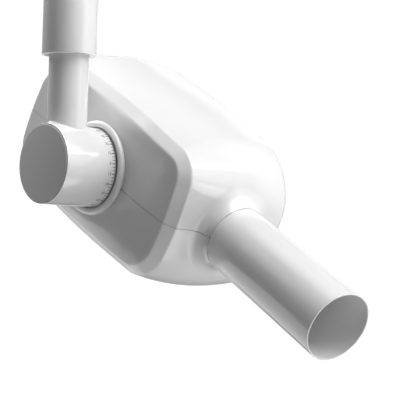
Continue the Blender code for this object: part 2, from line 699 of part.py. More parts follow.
def make_shaft(head, along_x):
    profile = [(SHAFT_BORE, SHAFT_START), (SHAFT_RADIUS - BREAK, SHAFT_START),
               (SHAFT_RADIUS, SHAFT_START + BREAK), (SHAFT_RADIUS, FLANGE_START),
               (FLANGE_RADIUS, FLANGE_START), (FLANGE_RADIUS, FLANGE_END), (SHAFT_BORE, FLANGE_END)]
    return turned("trunnion_shaft", profile, steel(), head, turn=along_x)


def make_bracket(head):
    """A channel between the shaft's flange and the tank, open for the cable."""
    near = BRACKET_START
    inner = near + BRACKET_THICKNESS
    far = TANK_X[0] - GAP
    leg = BRACKET_HALF - BRACKET_THICKNESS
    outline = [(near, -BRACKET_HALF), (far, -BRACKET_HALF), (far, -leg), (inner, -leg),
               (inner, leg), (far, leg), (far, BRACKET_HALF), (near, BRACKET_HALF)]
    form = extruded_form(outline, -BRACKET_HALF_HEIGHT, BRACKET_HALF_HEIGHT)
    return piece("trunnion_bracket", form, steel(), head)


def make_trunnion_screws(head, along_x, shaft, bracket):
    head_start = BRACKET_START + BRACKET_THICKNESS + GAP
    for number in range(3):
        angle = math.radians(90 + 120 * number)
        place = (0, SCREW_CIRCLE * math.cos(angle), SCREW_CIRCLE * math.sin(angle))
        hole = rod_cutter(f"cut_trunnion_{number + 1}", SCREW_SHANK + GAP, FLANGE_START - OVERRUN,
                          head_start, head, SMALL, place=place, turn=along_x)
        combine(shaft, hole, "DIFFERENCE")
        combine(bracket, hole, "DIFFERENCE")
        tip = FLANGE_START + 0.5 * MM
        head_end = head_start + TRUNNION_HEAD_HEIGHT
        profile = [(0.0, tip), (SCREW_SHANK, tip), (SCREW_SHANK, head_start), (SCREW_HEAD, head_start),
                   (SCREW_HEAD, head_end), (0.0, head_end)]
        turned(f"trunnion_screw_{number + 1}", profile, steel(), head, SMALL, place=place, turn=along_x)


def make_collar(head, along_x):
    rim_middle = (COLLAR_RADIUS + COLLAR_RIM_BORE) / 2
    rim_half = (COLLAR_RADIUS - COLLAR_RIM_BORE) / 2
    back = BOSS_FACE - GAP
    bead = arc((rim_middle, COLLAR_FLOOR), rim_half, 180, COLLAR_BEAD_END, 8)
    foot = COLLAR_RADIUS - COLLAR_TUCK
    profile = [(SHAFT_HOLE, back), (SHAFT_HOLE, COLLAR_FLOOR)] + bead + [(foot, back)]
    turned("boss_collar", profile, gloss_white(), head, FINE + 4, turn=along_x)


# ---------------------------------------------------------------- casing
def bulge(part):
    """A swelling that is 1 in the middle and runs out smoothly where part reaches 1."""
    return (1 - min(part, 1) ** 2) ** 2


def half_outline(station, inset, detail, corners):
    """The side profile's (u, w) points from the front's middle over the top to the rear's middle."""
    near_corner, mid_corner, far_corner = corners
    crown = 1 - station ** 2
    drop = station ** 2 if station > 0 else 0
    high = HALF_HEIGHT + TOP_CROWN * crown + FAR_RISE * drop - inset
    front = FRONT + FRONT_CROWN * crown - FAR_SETBACK * drop - inset
    rear = REAR + REAR_CROWN * crown - inset
    edge_corner = far_corner if station > 0 else near_corner
    corner = edge_corner + (mid_corner - edge_corner) * crown - CORNER_SHRINK * inset
    rear_corner = REAR_CORNER - CORNER_SHRINK * inset
    middle = (front - corner - rear + rear_corner) / 2
    half_flat = (front - corner + rear - rear_corner) / 2
    points = [(front, (high - corner) * step / detail) for step in range(detail)]
    points += arc((front - corner, high - corner), corner, 0, 90, detail)[:-1]
    points += [(middle + half_flat * (1 - step / detail), high) for step in range(2 * detail)]
    points += arc((rear_corner - rear, high - rear_corner), rear_corner, 90, 180, detail)[:-1]
    points += [(-rear, (high - rear_corner) * (1 - step / detail)) for step in range(detail + 1)]
    swollen = []
    for u, w in points:
        reach = FRONT_BULGE if u > middle else -REAR_BULGE
        run_out = half_flat + BULGE_RUN * corner
        swollen.append((u + reach * bulge(w / high), w + TOP_BULGE * bulge(abs(u - middle) / run_out)))
    return swollen


def casing_outline(station, inset, detail):
    """The casing's side profile at one width station, as a closed loop of (u, w) points.

    station runs from -1 at the arm side's chamfer band, through 0 at mid width, to 1.
    """
    upper = half_outline(station, inset, detail, UPPER_CORNERS)
    lower = half_outline(station, inset, detail, LOWER_CORNERS)
    return upper + [(u, -w) for u, w in reversed(lower[1:-1])]


def side_rings(station, inset, detail):
    """Rings of a side face, from its round boss to the chamfer band's inner edge."""
    band = EDGE_HALF_WIDTH + CHAMFER_RUN - inset
    boss = HEAD_CENTRE - BOSS_FACE - inset
    band_edge = casing_outline(station, inset + CHAMFER, detail)
    rings = []
    for step in range(CROWN_RINGS + 1):
        part = 1 - step / CROWN_RINGS
        x = HEAD_CENTRE + station * (band + (boss - band) * (2 * part - part ** 2))
        loop = []
        for u, w in band_edge:
            angle = math.atan2(w, u)
            boss_u = BOSS_RADIUS * math.cos(angle)
            boss_w = BOSS_RADIUS * math.sin(angle)
            loop.append((x, u + (boss_u - u) * part, w + (boss_w - w) * part))
        rings.append(loop)
    return rings


def casing_rings(inset, detail, stations):
    """Rings of (x, u, w) points from the arm side to the far side."""
    rings = side_rings(-1, inset, detail)
    for step in range(stations + 1):
        station = -1 + 2 * step / stations
        x = HEAD_CENTRE + station * (EDGE_HALF_WIDTH - WIDTH_SHRINK * inset)
        rings.append([(x, u, w) for u, w in casing_outline(station, inset, detail)])
    return rings + side_rings(1, inset, detail)[::-1]


def casing_form(inset=0.0, detail=4, stations=6):
    """A closed body of the casing's shape, set in from the outer surface by inset."""
    bm = bmesh.new()
    loops = [[bm.verts.new((x, -u, w)) for x, u, w in loop]
             for loop in casing_rings(inset, detail, stations)]
    for near, far in zip(loops, loops[1:]):
        count = len(near)
        for step in range(count):
            after = (step + 1) % count
            bm.faces.new((near[step], near[after], far[after], far[step]))
    bm.faces.new(loops[0])
    bm.faces.new(loops[-1])
    return bm


def neck_profile():
    """The neck's flare from the casing's front to the collimator, as (radius, u) points."""
    base = 60 * MM
    collar = 1 * MM
    flare_steps = 5
    rise = NECK_END - collar - NECK_FOOT
    spread = NECK_FOOT_RADIUS - NECK_RADIUS
    flare = []
    for step in range(flare_steps + 1):
        angle = math.radians(90 * step / flare_steps)
        flare.append((NECK_FOOT_RADIUS - spread * math.sin(angle),
                      NECK_FOOT + rise * (1 - math.cos(angle))))
    start = [(0.0, base), (NECK_FOOT_RADIUS - 3 * MM, base)]
    return start + flare + [(NECK_RADIUS, NECK_END), (0.0, NECK_END)]


def post_places():
    places = []
    for side in (-1, 1):
        places.append((HEAD_CENTRE + side * POST_SPREAD_FRONT, -POST_FRONT, 0.0))
        places.append((HEAD_CENTRE + side * POST_SPREAD_REAR, -POST_REAR, 0.0))
    return places


def casing_tools(head, beam, along_x):
    """Everything that turns the solid casing form into a hollow shell with posts."""
    tall = 80 * MM
    hollow = cutter("cut_hollow", casing_form(WALL, 3, 4), head)
    for number, place in enumerate(post_places()):
        post = rod_cutter(f"tool_post_{number + 1}", POST_RADIUS, -tall, tall, head, 12, place=place)
        combine(hollow, post, "DIFFERENCE")
    neck = cutter("tool_neck", turned_form(neck_profile(), FINE), beam)
    neck_bore = rod_cutter("cut_neck_bore", NECK_BORE, FRONT - 5 * WALL, NECK_END + OVERRUN, beam, FINE)
    shaft_hole = rod_cutter("cut_shaft_hole", SHAFT_HOLE, BOSS_FACE - OVERRUN, FLANGE_START, head,
                            FINE - 8, turn=along_x)
    return neck, [hollow, neck_bore, shaft_hole]


def make_casings(head, beam, along_x):
    neck, hollows = casing_tools(head, beam, along_x)
    wide = 300 * MM
    tall = 100 * MM
    for name, low, high in (("upper_casing", -tall, SEAM_GAP / 2),
                            ("lower_casing", -SEAM_GAP / 2, tall)):
        shell = piece(name, casing_form(), gloss_white(), head, sharp=20)
        combine(shell, neck, "UNION")
        for tool in hollows:
            combine(shell, tool, "DIFFERENCE")
        other_half = cutter(f"cut_{name}", block_form((-wide, wide), (-wide, wide), (low, high)), head)
        combine(shell, other_half, "DIFFERENCE")
        if name == "upper_casing":
            drill_pilot_holes(shell, head)
        else:
            add_casing_screws(shell, head)


def drill_pilot_holes(shell, head):
    """Blind holes in the upper shell's posts, which the screws bite into."""
    for number, place in enumerate(post_places()):
        pilot = rod_cutter(f"cut_pilot_{number + 1}", SCREW_SHANK + GAP, -OVERRUN, SCREW_END + OVERRUN,
                           head, SMALL, place=place)
        combine(shell, pilot, "DIFFERENCE")


def add_casing_screws(shell, head):
    """Stepped holes up the lower shell's posts, and the screws in them."""
    shank_hole = SCREW_SHANK + GAP
    head_hole = SCREW_HEAD + GAP
    below = -90 * MM
    seat = SCREW_SEAT - GAP
    head_end = seat - SCREW_HEAD_HEIGHT
    for number, place in enumerate(post_places()):
        profile = [(0.0, below), (head_hole, below), (head_hole, SCREW_SEAT),
                   (shank_hole, SCREW_SEAT), (shank_hole, OVERRUN), (0.0, OVERRUN)]
        hole = cutter(f"cut_casing_screw_{number + 1}", turned_form(profile, 12), head, place=place)
        combine(shell, hole, "DIFFERENCE")
        body = [(0.0, head_end), (SCREW_HEAD, head_end), (SCREW_HEAD, seat),
                (SCREW_SHANK, seat), (SCREW_SHANK, SCREW_END), (0.0, SCREW_END)]
        turned(f"casing_screw_{number + 1}", body, steel(), head, SMALL, place=place)


# ---------------------------------------------------------------- tank and X-ray tube
def make_tank(head, beam):
    """The oil tank, open at the top under a gasket and a lid, with a port for the beam."""
    y = (-TANK_U[1], -TANK_U[0])
    floor, level = TANK_W
    square_edge = 80
    body = piece("tank_body", block_form(TANK_X, y, TANK_W), aluminium(), head)
    inner_x = (TANK_X[0] + TANK_WALL, TANK_X[1] - TANK_WALL)
    inner_y = (y[0] + TANK_WALL, y[1] - TANK_WALL)
    inner_w = (floor + TANK_WALL, level + GASKET_TOP + OVERRUN)
    hollow = cutter("cut_tank", block_form(inner_x, inner_y, inner_w), head)
    round_edges(body, TANK_CORNER, 2, square_edge)
    combine(body, hollow, "DIFFERENCE")
    port = rod_cutter("cut_tank_port", TANK_PORT_RADIUS, TANK_U[1] - TANK_WALL - OVERRUN,
                      TANK_U[1] + OVERRUN, beam, FINE - 8)
    combine(body, port, "DIFFERENCE")
    frame_x = (TANK_X[0] + GASKET_RIM, TANK_X[1] - GASKET_RIM)
    frame_y = (y[0] + GASKET_RIM, y[1] - GASKET_RIM)
    gasket = piece("tank_gasket", block_form(frame_x, frame_y, (level + GAP, level + GASKET_TOP)),
                   black_rubber(), head)
    round_edges(gasket, TANK_CORNER, 2, square_edge)
    combine(gasket, hollow, "DIFFERENCE")
    lid_low, lid_high = LID
    lid = piece("tank_lid", block_form(frame_x, frame_y, (level + lid_low, level + lid_high)),
                aluminium(), head)
    round_edges(lid, 1 * MM, 1, square_edge)


def envelope_profile():
    """The glass tube's wall as (radius, place along X) points, outside and then inside."""
    radius = 16.0 * MM
    neck = 9.0 * MM
    wall = 1.5 * MM
    start, end = 66.0 * MM, 155.0 * MM
    shoulder = 9.0 * MM
    outside = []
    for step in range(4):
        angle = math.radians(30 * step)
        outside.append((neck + (radius - neck) * math.sin(angle), start + shoulder * (1 - math.cos(angle))))
    outside += [(r, start + end - h) for r, h in reversed(outside)]
    middle = (start + end) / 2
    inside = []
    for r, h in reversed(outside):
        shrink = (middle - h) / (middle - start)
        inside.append((r - wall, h + wall * shrink))
    return outside + inside


def make_xray_tube(head):
    along_x = (0, math.radians(90), 0)
    at = {"place": (0, -TUBE_U, 0), "turn": along_x}
    turned("tube_envelope", envelope_profile(), clear_glass(), head, FINE - 8, **at)
    stem = ELECTRODE_STEM
    anode = turned("anode_block", [(0.0, ANODE_HEAD[0]), (ANODE_RADIUS, ANODE_HEAD[0]),
                                   (ANODE_RADIUS, ANODE_HEAD[1]), (stem, ANODE_STEM[0]),
                                   (stem, ANODE_STEM[1]), (0.0, ANODE_STEM[1])], copper(), head, **at)
    lean = Matrix.Rotation(TARGET_ANGLE, 3, "Z") @ Matrix.Rotation(math.radians(90), 3, "Y")
    side = (-TARGET_TOOL, TARGET_TOOL)
    bevel = cutter("cut_anode_face", block_form(side, side, (1.5 * side[0], 0.0)), head,
                   place=(HEAD_CENTRE + TARGET_OFFSET, -TUBE_U, 0), turn=lean.to_euler())
    combine(anode, bevel, "DIFFERENCE")
    cup_floor = CUP_HEAD[1] - CUP_DEPTH
    turned("cathode_cup", [(0.0, CUP_STEM[0]), (stem, CUP_STEM[0]), (stem, CUP_STEM[1]),
                           (CUP_RADIUS, CUP_HEAD[0]), (CUP_RADIUS, CUP_HEAD[1]), (CUP_BORE, CUP_HEAD[1]),
                           (CUP_FLOOR_RADIUS, cup_floor), (0.0, cup_floor)], steel(), head, **at)
    shield = ring("tube_shield", SHIELD_BORE, SHIELD_RADIUS, *SHIELD_SPAN, lead(), head, FINE - 8, **at)
    window = rod_cutter("cut_shield_window", SHIELD_WINDOW, *SHIELD_WINDOW_DEPTH, head,
                        place=(HEAD_CENTRE, -TUBE_U, 0), turn=(math.radians(90), 0, 0))
    combine(shield, window, "DIFFERENCE")


def make_coil(name, middle, build, y, head):
    """A winding round one of the core's legs."""
    half_x = CORE_LEG / 2 + GAP
    half_w = CORE_HALF_STACK + GAP
    outer = block_form((middle - half_x - build, middle + half_x + build), y,
                       (-half_w - build, half_w + build))
    coil = piece(name, outer, winding(), head)
    round_edges(coil, COIL_CORNER)
    inner = block_form((middle - half_x, middle + half_x), (y[0] - OVERRUN, y[1] + OVERRUN),
                       (-half_w, half_w))
    combine(coil, cutter(f"cut_{name}", inner, head), "DIFFERENCE")


def make_transformer(head):
    y = (-CORE_U[1], -CORE_U[0])
    stack = (-CORE_HALF_STACK, CORE_HALF_STACK)
    core = piece("transformer_core", block_form(CORE_X, y, stack), core_steel(), head)
    window_x = (CORE_X[0] + CORE_LEG, CORE_X[1] - CORE_LEG)
    window_y = (y[0] + CORE_YOKE, y[1] - CORE_YOKE)
    through = (stack[0] - OVERRUN, stack[1] + OVERRUN)
    window = cutter("cut_core_window", block_form(window_x, window_y, through), head)
    combine(core, window, "DIFFERENCE")
    coil_y = (window_y[0] + GAP, window_y[1] - GAP)
    make_coil("primary_coil", CORE_X[0] + CORE_LEG / 2, PRIMARY_BUILD, coil_y, head)
    make_coil("secondary_coil", CORE_X[1] - CORE_LEG / 2, SECONDARY_BUILD, coil_y, head)
    half = FILAMENT_CORE_HALF
    ring("filament_transformer", *FILAMENT_CORE, -half, half, winding(), head, FINE - 8,
         place=(HEAD_CENTRE, -half, 0))


def make_bellows(beam):
    """A corrugated rubber cell that takes up the oil's expansion."""
    folds = 3
    outer = [(BELLOWS_CREST if step % 2 else BELLOWS_ROOT, BELLOWS_START + BELLOWS_PITCH * step / 2)
             for step in range(2 * folds + 1)]
    inner = [(radius - BELLOWS_WALL, height) for radius, height in reversed(outer[1:])]
    floor = BELLOWS_START + BELLOWS_WALL
    profile = [(0.0, BELLOWS_START)] + outer + inner + [(BELLOWS_ROOT - BELLOWS_WALL, floor), (0.0, floor)]
    turned("expansion_bellows", profile, black_rubber(), beam)


# ---------------------------------------------------------------- beam port, collimator, electronics
def make_beam_port(beam):
    seat = TANK_U[1] + GAP
    flange = seat + PORT_FLANGE_THICKNESS
    profile = [(PORT_BORE, seat), (PORT_FLANGE, seat), (PORT_FLANGE, flange), (PORT_RADIUS, flange),
               (PORT_RADIUS, PORT_END), (PORT_BORE, PORT_END)]
    turned("beam_port_tube", profile, aluminium(), beam, FINE - 4)
    disc = PORT_BORE - GAP
    rod("beam_filter", disc, seat, seat + FILTER_THICKNESS, aluminium(), beam, FINE - 4)
    low, high = DIAPHRAGM
    ring("beam_diaphragm", DIAPHRAGM_BORE, disc, seat + low, seat + high, lead(), beam, FINE - 4)


def make_collimator(beam):
    """The open cone, with a spigot that an O-ring seals in the neck, and its lead liner."""
    lip = 0.35 * MM
    shoulder = CONE_START + 2 * MM
    groove_low, groove_high = O_RING_GROOVE
    mouth_middle = (CONE_MOUTH_RADIUS + CONE_MOUTH_BORE) / 2
    profile = [(CONE_SPIGOT_BORE, CONE_SPIGOT_START), (CONE_SPIGOT_RADIUS, CONE_SPIGOT_START),
               (CONE_SPIGOT_RADIUS, groove_low), (O_RING_GROOVE_RADIUS, groove_low),
               (O_RING_GROOVE_RADIUS, groove_high), (CONE_SPIGOT_RADIUS, groove_high),
               (CONE_SPIGOT_RADIUS, CONE_START), (NECK_RADIUS, CONE_START),
               (CONE_MOUTH_RADIUS, CONE_END - lip), (mouth_middle + lip, CONE_END),
               (mouth_middle - lip, CONE_END), (CONE_MOUTH_BORE, CONE_END - lip),
               (CONE_SHOULDER_BORE, shoulder), (CONE_SPIGOT_BORE, shoulder)]
    turned("collimator_tube", profile, gloss_white(), beam, FINE)
    ring("neck_o_ring", O_RING_GROOVE_RADIUS + GAP, NECK_BORE - GAP, *O_RING, black_rubber(), beam,
         FINE - 8)
    slope = (CONE_MOUTH_BORE - CONE_SHOULDER_BORE) / (CONE_END - CONE_START)
    start = shoulder + 0.5 * MM
    outer = CONE_SHOULDER_BORE - GAP
    end_outer = outer + slope * LINER_LENGTH
    liner = [(outer - LINER_WALL, start), (outer, start), (end_outer, start + LINER_LENGTH),
             (end_outer - LINER_WALL, start + LINER_LENGTH)]
    turned("collimator_liner", liner, lead(), beam, FINE)


def make_electronics(head):
    half_x, half_w = BOARD_HALF
    board = block_form((HEAD_CENTRE - half_x, HEAD_CENTRE + half_x),
                       (BOARD_PLACE - BOARD_THICKNESS, BOARD_PLACE), (-half_w, half_w))
    piece("control_board", board, board_green(), head)
    across, up = CAPACITOR_PLACE
    rod("board_capacitor", CAPACITOR_RADIUS, 0.0, CAPACITOR_LENGTH, black_rubber(), head,
        place=(HEAD_CENTRE + across, BOARD_PLACE + GAP, up), turn=(math.radians(-90), 0, 0))
    half_y, half_z = TERMINAL_HALF
    terminal = block_form((TERMINAL_START, TANK_X[0] - GAP), (-half_y, half_y), (-half_z, half_z))
    piece("cable_terminal_block", terminal, bush_plastic(), head)


def make_head(head, beam):
    along_x = (0, math.radians(90), 0)
    make_tilt_brake(head, along_x)
    shaft = make_shaft(head, along_x)
    bracket = make_bracket(head)
    make_trunnion_screws(head, along_x, shaft, bracket)
    cable_hole = rod_cutter("cut_bracket_cable", SHAFT_BORE, BRACKET_START - OVERRUN,
                            BRACKET_START + BRACKET_THICKNESS + OVERRUN, head, turn=along_x)
    combine(bracket, cable_hole, "DIFFERENCE")
    make_collar(head, along_x)
    make_casings(head, beam, along_x)
    make_tank(head, beam)
    make_xray_tube(head)
    make_transformer(head)
    make_bellows(beam)
    make_beam_port(beam)
    make_collimator(beam)
    make_electronics(head)


def build():
    for old in list(bpy.data.objects):
        bpy.data.objects.remove(old, do_unlink=True)
    arm = empty("arm_frame", (0, 0, 0))
    yoke_top = empty("swivel_axis", (0, 0, 0))
    yoke = empty("knuckle_centre", (0, 0, -KNUCKLE_DROP), parent=yoke_top)
    head = empty("tilt_axis", (0, 0, 0), (BEAM_TILT, 0, 0), yoke)
    beam = empty("beam_axis", (HEAD_CENTRE, 0, 0), (math.radians(90), 0, 0), head)
    make_arm(arm)
    make_swivel_stop(arm, yoke_top)
    make_yoke(yoke, yoke_top)
    make_head(head, beam)


build()
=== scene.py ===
"""Looks of the dental X-ray tube head: fine shells, scale, materials, light and camera.

Metres, +Z up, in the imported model's frame. The head's own frame has its origin on the tilt axis:
x runs along that axis, u along the beam and w across it, and a head point (x, u, w) sits at
(x, -u, w) before the head is tipped down.
"""
import json
import math

import bmesh
import bpy
import numpy as np
from mathutils import Matrix, Vector


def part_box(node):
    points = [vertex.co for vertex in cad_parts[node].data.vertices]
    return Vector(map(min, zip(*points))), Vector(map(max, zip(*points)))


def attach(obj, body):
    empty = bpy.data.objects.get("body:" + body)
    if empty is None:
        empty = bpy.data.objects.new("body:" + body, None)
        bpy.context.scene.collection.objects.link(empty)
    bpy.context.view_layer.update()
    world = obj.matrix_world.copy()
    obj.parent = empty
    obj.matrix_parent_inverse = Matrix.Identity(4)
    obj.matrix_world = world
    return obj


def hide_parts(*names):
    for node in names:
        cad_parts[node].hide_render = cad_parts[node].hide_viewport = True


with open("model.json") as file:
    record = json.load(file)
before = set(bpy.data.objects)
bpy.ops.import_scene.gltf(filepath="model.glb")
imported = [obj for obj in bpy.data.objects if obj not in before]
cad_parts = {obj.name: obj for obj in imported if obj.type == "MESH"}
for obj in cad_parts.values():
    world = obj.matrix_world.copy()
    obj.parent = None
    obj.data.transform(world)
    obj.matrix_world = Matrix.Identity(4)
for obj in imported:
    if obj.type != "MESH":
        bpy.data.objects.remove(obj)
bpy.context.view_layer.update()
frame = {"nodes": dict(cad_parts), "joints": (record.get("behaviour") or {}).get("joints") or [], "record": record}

MM = 0.001
DEG = math.radians(1)

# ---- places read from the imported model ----
joints = {joint["name"]: joint for joint in frame["joints"]}
TILT_AXIS = Vector(joints["head_tilt"]["pos_m"])
BEAM_TILT = 29.6 * DEG
SLEEVE_LOW, SLEEVE_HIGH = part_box("arm_sleeve")
DRUM_LOW, DRUM_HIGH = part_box("knuckle_housing")
CAP_LOW, CAP_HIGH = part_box("end_cap")
COLLAR_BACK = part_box("boss_collar")[1].x

CUT_PAST = 1.0 * MM                   # how far a cutter runs past the surface it opens

# ---- arm sleeve, its lip, plug and screws (radii, and heights from the plug's face) ----
ROUND = 128                           # segments round the sleeve's pieces
SLEEVE_RADIUS = SLEEVE_HIGH.x
SLEEVE_BORE = 21.0 * MM
SLEEVE_LIP_BORE = 19.2 * MM
SLEEVE_LIP_HEIGHT = 4.5 * MM
SLEEVE_LIP_PLAY = 0.1 * MM
PLUG_DEPTH = 14.0 * MM
PLUG_PLAY = 0.3 * MM
CABLE_HOLE = 4.5 * MM
HOLE_START = 15.0 * MM                # the holes in the sleeve's wall are cut from here
HOLE_END = 30.0 * MM                  # to here
ADAPTER_HOLE = 2.8 * MM
ADAPTER_SCREW = 2.5 * MM
ADAPTER_SCREW_START = 16.0 * MM
ADAPTER_SCREW_SINK = 0.5 * MM
ADAPTER_SCREW_HEIGHT = -10.0 * MM
ADAPTER_SCREW_TURN = 30               # degrees round the sleeve to the first screw
ADAPTER_SOCKET = 1.3 * MM
ADAPTER_SOCKET_DEPTH = 2.5 * MM       # below the sleeve's surface
BRAKE_HOLE = 4.3 * MM
BRAKE_HEIGHT = -42.5 * MM
BRAKE_SCREW = 4.0 * MM
BRAKE_SCREW_START = 17.8 * MM
BRAKE_SCREW_SINK = 0.2 * MM
BRAKE_SOCKET = 2.0 * MM
BRAKE_SOCKET_DEPTH = 3.0 * MM

# ---- knuckle and boss bead (radii; lengths along the drum, and up the stem from its axis) ----
FINE_ROUND = 160                      # segments round the drum, the bead and the cone
STEM_RADIUS = 18.3 * MM
STEM_FLARE = 3.5 * MM
STEM_ROOT = 10.0 * MM                 # how deep the stem's foot reaches into the drum
STEM_SINK = 0.1 * MM                  # how deep the foot's edge lies under the drum's surface
STEM_IN_SLEEVE = 5.0 * MM
STEM_BORE = 14.3 * MM
STEM_BORE_START = 55.0 * MM
STEM_BORE_END = 120.0 * MM
CABLE_WAY = 9.5 * MM                  # the cable's hole between the drum and the stem's bore
DRUM_RADIUS = 36.5 * MM
DRUM_BORE = 31.0 * MM
DRUM_BORE_END = 20.0 * MM
DRUM_BORE_SHY = 0.01 * MM             # the stem's foot is cut out of the bore just off its wall
FOOT_CUT_INSET = 1.0 * MM             # and this far from the bore's ends
BUSH_HOLE = 18.1 * MM
CAP_SEAT = -23.0 * MM
CAP_RADIUS = 35.3 * MM
CAP_PLAY = 0.3 * MM
CAP_SKIRT_RADIUS = 30.7 * MM
CAP_SKIRT_BORE = 28.7 * MM
COLLAR_RADIUS = 43.2 * MM
COLLAR_RIM_BORE = 36.9 * MM
COLLAR_BEAD_CENTRE = 32.2 * MM
COLLAR_BEAD_TURN = 215                # degrees of the bead's round section
COLLAR_BEAD_STEPS = 32
COLLAR_TUCK = 1.3 * MM
SHAFT_HOLE = 16.0 * MM

# ---- cone (radii, and lengths along the beam) ----
NECK_END = 127.45 * MM
NECK_RADIUS = 31.3 * MM
CONE_START = 127.95 * MM
CONE_END = 282.7 * MM
CONE_MOUTH_RADIUS = 32.8 * MM
CONE_MOUTH_BORE = 31.5 * MM
CONE_SHOULDER_BORE = 29.6 * MM
CONE_SPIGOT_RADIUS = 28.9 * MM
CONE_SPIGOT_BORE = 26.4 * MM
CONE_SPIGOT_START = 106.0 * MM
CONE_SHOULDER = 2.0 * MM              # wall between the spigot's bore and the cone's
CONE_LIP = 0.5 * MM                   # rounding of the mouth's edges
LINER_LENGTH = 45.0 * MM
LINER_START = CONE_START + 2.5 * MM
LINER_PLAY = 0.3 * MM
LINER_WALL = 0.8 * MM

# ---- casing ----
HEAD_CENTRE = 110.4 * MM
EDGE_HALF = 60.4 * MM                 # mid width to the chamfer band's outer edge
CHAMFER_RUN = 10.0 * MM               # width of the chamfer band across the casing
CHAMFER = 9.0 * MM                    # its depth round the outline
BOSS_RISE = 4.0 * MM                  # the boss stands this far out from the side face's edge
BOSS_RADIUS = 45.0 * MM
HALF_HEIGHT = 65.2 * MM
FRONT = 109.8 * MM
REAR = 129.0 * MM
TOP_BULGE = 2.6 * MM
FRONT_BULGE = 4.7 * MM
REAR_BULGE = 4.0 * MM
UPPER_CORNER = 26.0 * MM              # front corner radii at the arm side's edge
LOWER_CORNER = 37.0 * MM
UPPER_FAR_CORNER = 53.0 * MM          # at the free side's edge
LOWER_FAR_CORNER = 34.0 * MM
UPPER_MID_CORNER = 44.0 * MM          # at mid width
LOWER_MID_CORNER = 38.0 * MM
FAR_SETBACK = 3.0 * MM                # the front falls back this much towards the free side
FAR_RISE = 1.5 * MM                   # and the top and bottom stand this much further out
REAR_CORNER = 40.0 * MM
TOP_CROWN = 7.3 * MM
FRONT_CROWN = 3.0 * MM
REAR_CROWN = 8.0 * MM
EDGE_SOFTNESS = 0.8 * MM              # how far the chamfer's edges are softened
NECK_FLARE = 14.0 * MM                # radius of the fillet between neck and front
WALL = 2.0 * MM
NECK_LIP = 0.5 * MM                   # length of the neck's rounded end
NECK_LIP_INSET = 0.4 * MM
SEAM_HALF_GAP = 0.2 * MM
SEAM_EASING = [                       # columns from the seam, how far they sink in, height off the seam
    (0, 0.3 * MM, SEAM_HALF_GAP),
    (1, 0.05 * MM, SEAM_HALF_GAP + 0.2 * MM),
]
SHAFT_CUT_START = 30.0 * MM           # the shaft's hole in the side wall is cut from here
SHAFT_CUT_END = 50.0 * MM             # to here
RAY_REACH = (20.0 * MM, 220.0 * MM)   # the outer surface lies between these on every ray
FRONT_RAYS = 23                       # degrees off the beam: the neck's fillet lies within this
RAY_STRETCHES = [                     # start, end, step in degrees off the beam, finest at corners
    (FRONT_RAYS, 54, 0.4),
    (54, 128, 1.4),
    (128, 156, 0.5),
    (156, 179, 1.5),
]
TURN_STRETCHES = [(0.4, 62, 0.7), (62, 118, 2.4), (118, 179.6, 0.7)]   # the same round the beam
INNER_STEP = 4                        # the wall's inside has one point for this many outside

# ---- casing screws and their posts ----
POST_RADIUS = 6.0 * MM
POST_REACH = (5.0 * MM, 90.0 * MM)
POST_PLACES = [(HEAD_CENTRE - 52 * MM, 82 * MM), (HEAD_CENTRE - 50 * MM, -112 * MM),
               (HEAD_CENTRE + 52 * MM, 82 * MM), (HEAD_CENTRE + 50 * MM, -112 * MM)]
SCREW_SEAT = -44.0 * MM
SCREW_SHANK = 2.0 * MM
SCREW_HEAD = 3.8 * MM
SCREW_HEAD_HEIGHT = 4.0 * MM
SCREW_END = 12.0 * MM
SCREW_PLAY = 0.3 * MM                 # clearance round a screw
SCREW_SOCKET = 1.9 * MM
SCREW_SOCKET_DEPTH = 2.2 * MM
PILOT_SPARE = 2.0 * MM                # how far the pilot hole runs past the screw's end
RECESS_START = -90.0 * MM             # below the casing

# ---- angle scale ----
SCALE_ZERO = 3                        # degrees above straight ahead
SCALE_LOW = -100
SCALE_HIGH = 70
TICK_STEP = 5
NUMERAL_STEP = 15
SCALE_INSET = 0.8 * MM                # from the ticks to the drum's end
TICK_LENGTH = 3.1 * MM
TICK_WIDTH = 0.5 * MM
LONG_TICK_LENGTH = 3.6 * MM
LONG_TICK_WIDTH = 0.75 * MM
INK_LIFT = 0.04 * MM
INK_DEPTH = 0.15 * MM
NUMERAL_SIZE = 4.0 * MM
NUMERAL_PLACE = 6.0 * MM              # from the ticks' ends to the middle of the numerals
NUMERAL_DEPTH = 0.08 * MM
NUMERAL_SINK = 0.03 * MM
MERGE = 0.001 * MM                    # points closer than this become one

# ---- light ----
FILL = 0.05                           # even light from all round
BACKDROP = 1.05                       # what the camera sees behind the object
FLOOR_HALF = 30.0
FLOOR_HEIGHT = -6.0
FLOOR_GLOW = 0.75                     # keeps the floor pale beyond the lights' reach
LIGHT_DISTANCE = 2.0
OBJECT_MIDDLE = Vector((0.07, 0.0, -0.18))
SOFT_LIGHTS = [                       # name, azimuth, elevation in degrees, width, height, brightness
    ("key", 19, 41, 1.2, 1.2, 4.9),
    ("key_high", 30, 65, 0.9, 0.9, 3.4),
    ("front_high", 0, 65, 0.9, 0.9, 4.6),
    ("top", 0, 90, 1.1, 1.1, 1.2),
    ("strip", 53, 26, 0.9, 0.3, 6.0),
    ("front_right", 30, 10, 0.8, 0.8, 1.3),
    ("low_right", 45, -20, 0.9, 0.9, 3.4),
    ("low_front", 15, -48, 1.6, 1.6, 2.5),
    ("low_left", 304, -20, 0.85, 0.85, 1.1),
    ("low_back", 193, -30, 2.4, 1.6, 1.4),
    ("rim_back", 195, 40, 0.8, 0.8, 11.5),
    ("left_high", 235, 45, 1.0, 1.0, 0.8),
    ("backdrop", 140, 8, 1.9, 1.9, 0.65),
]

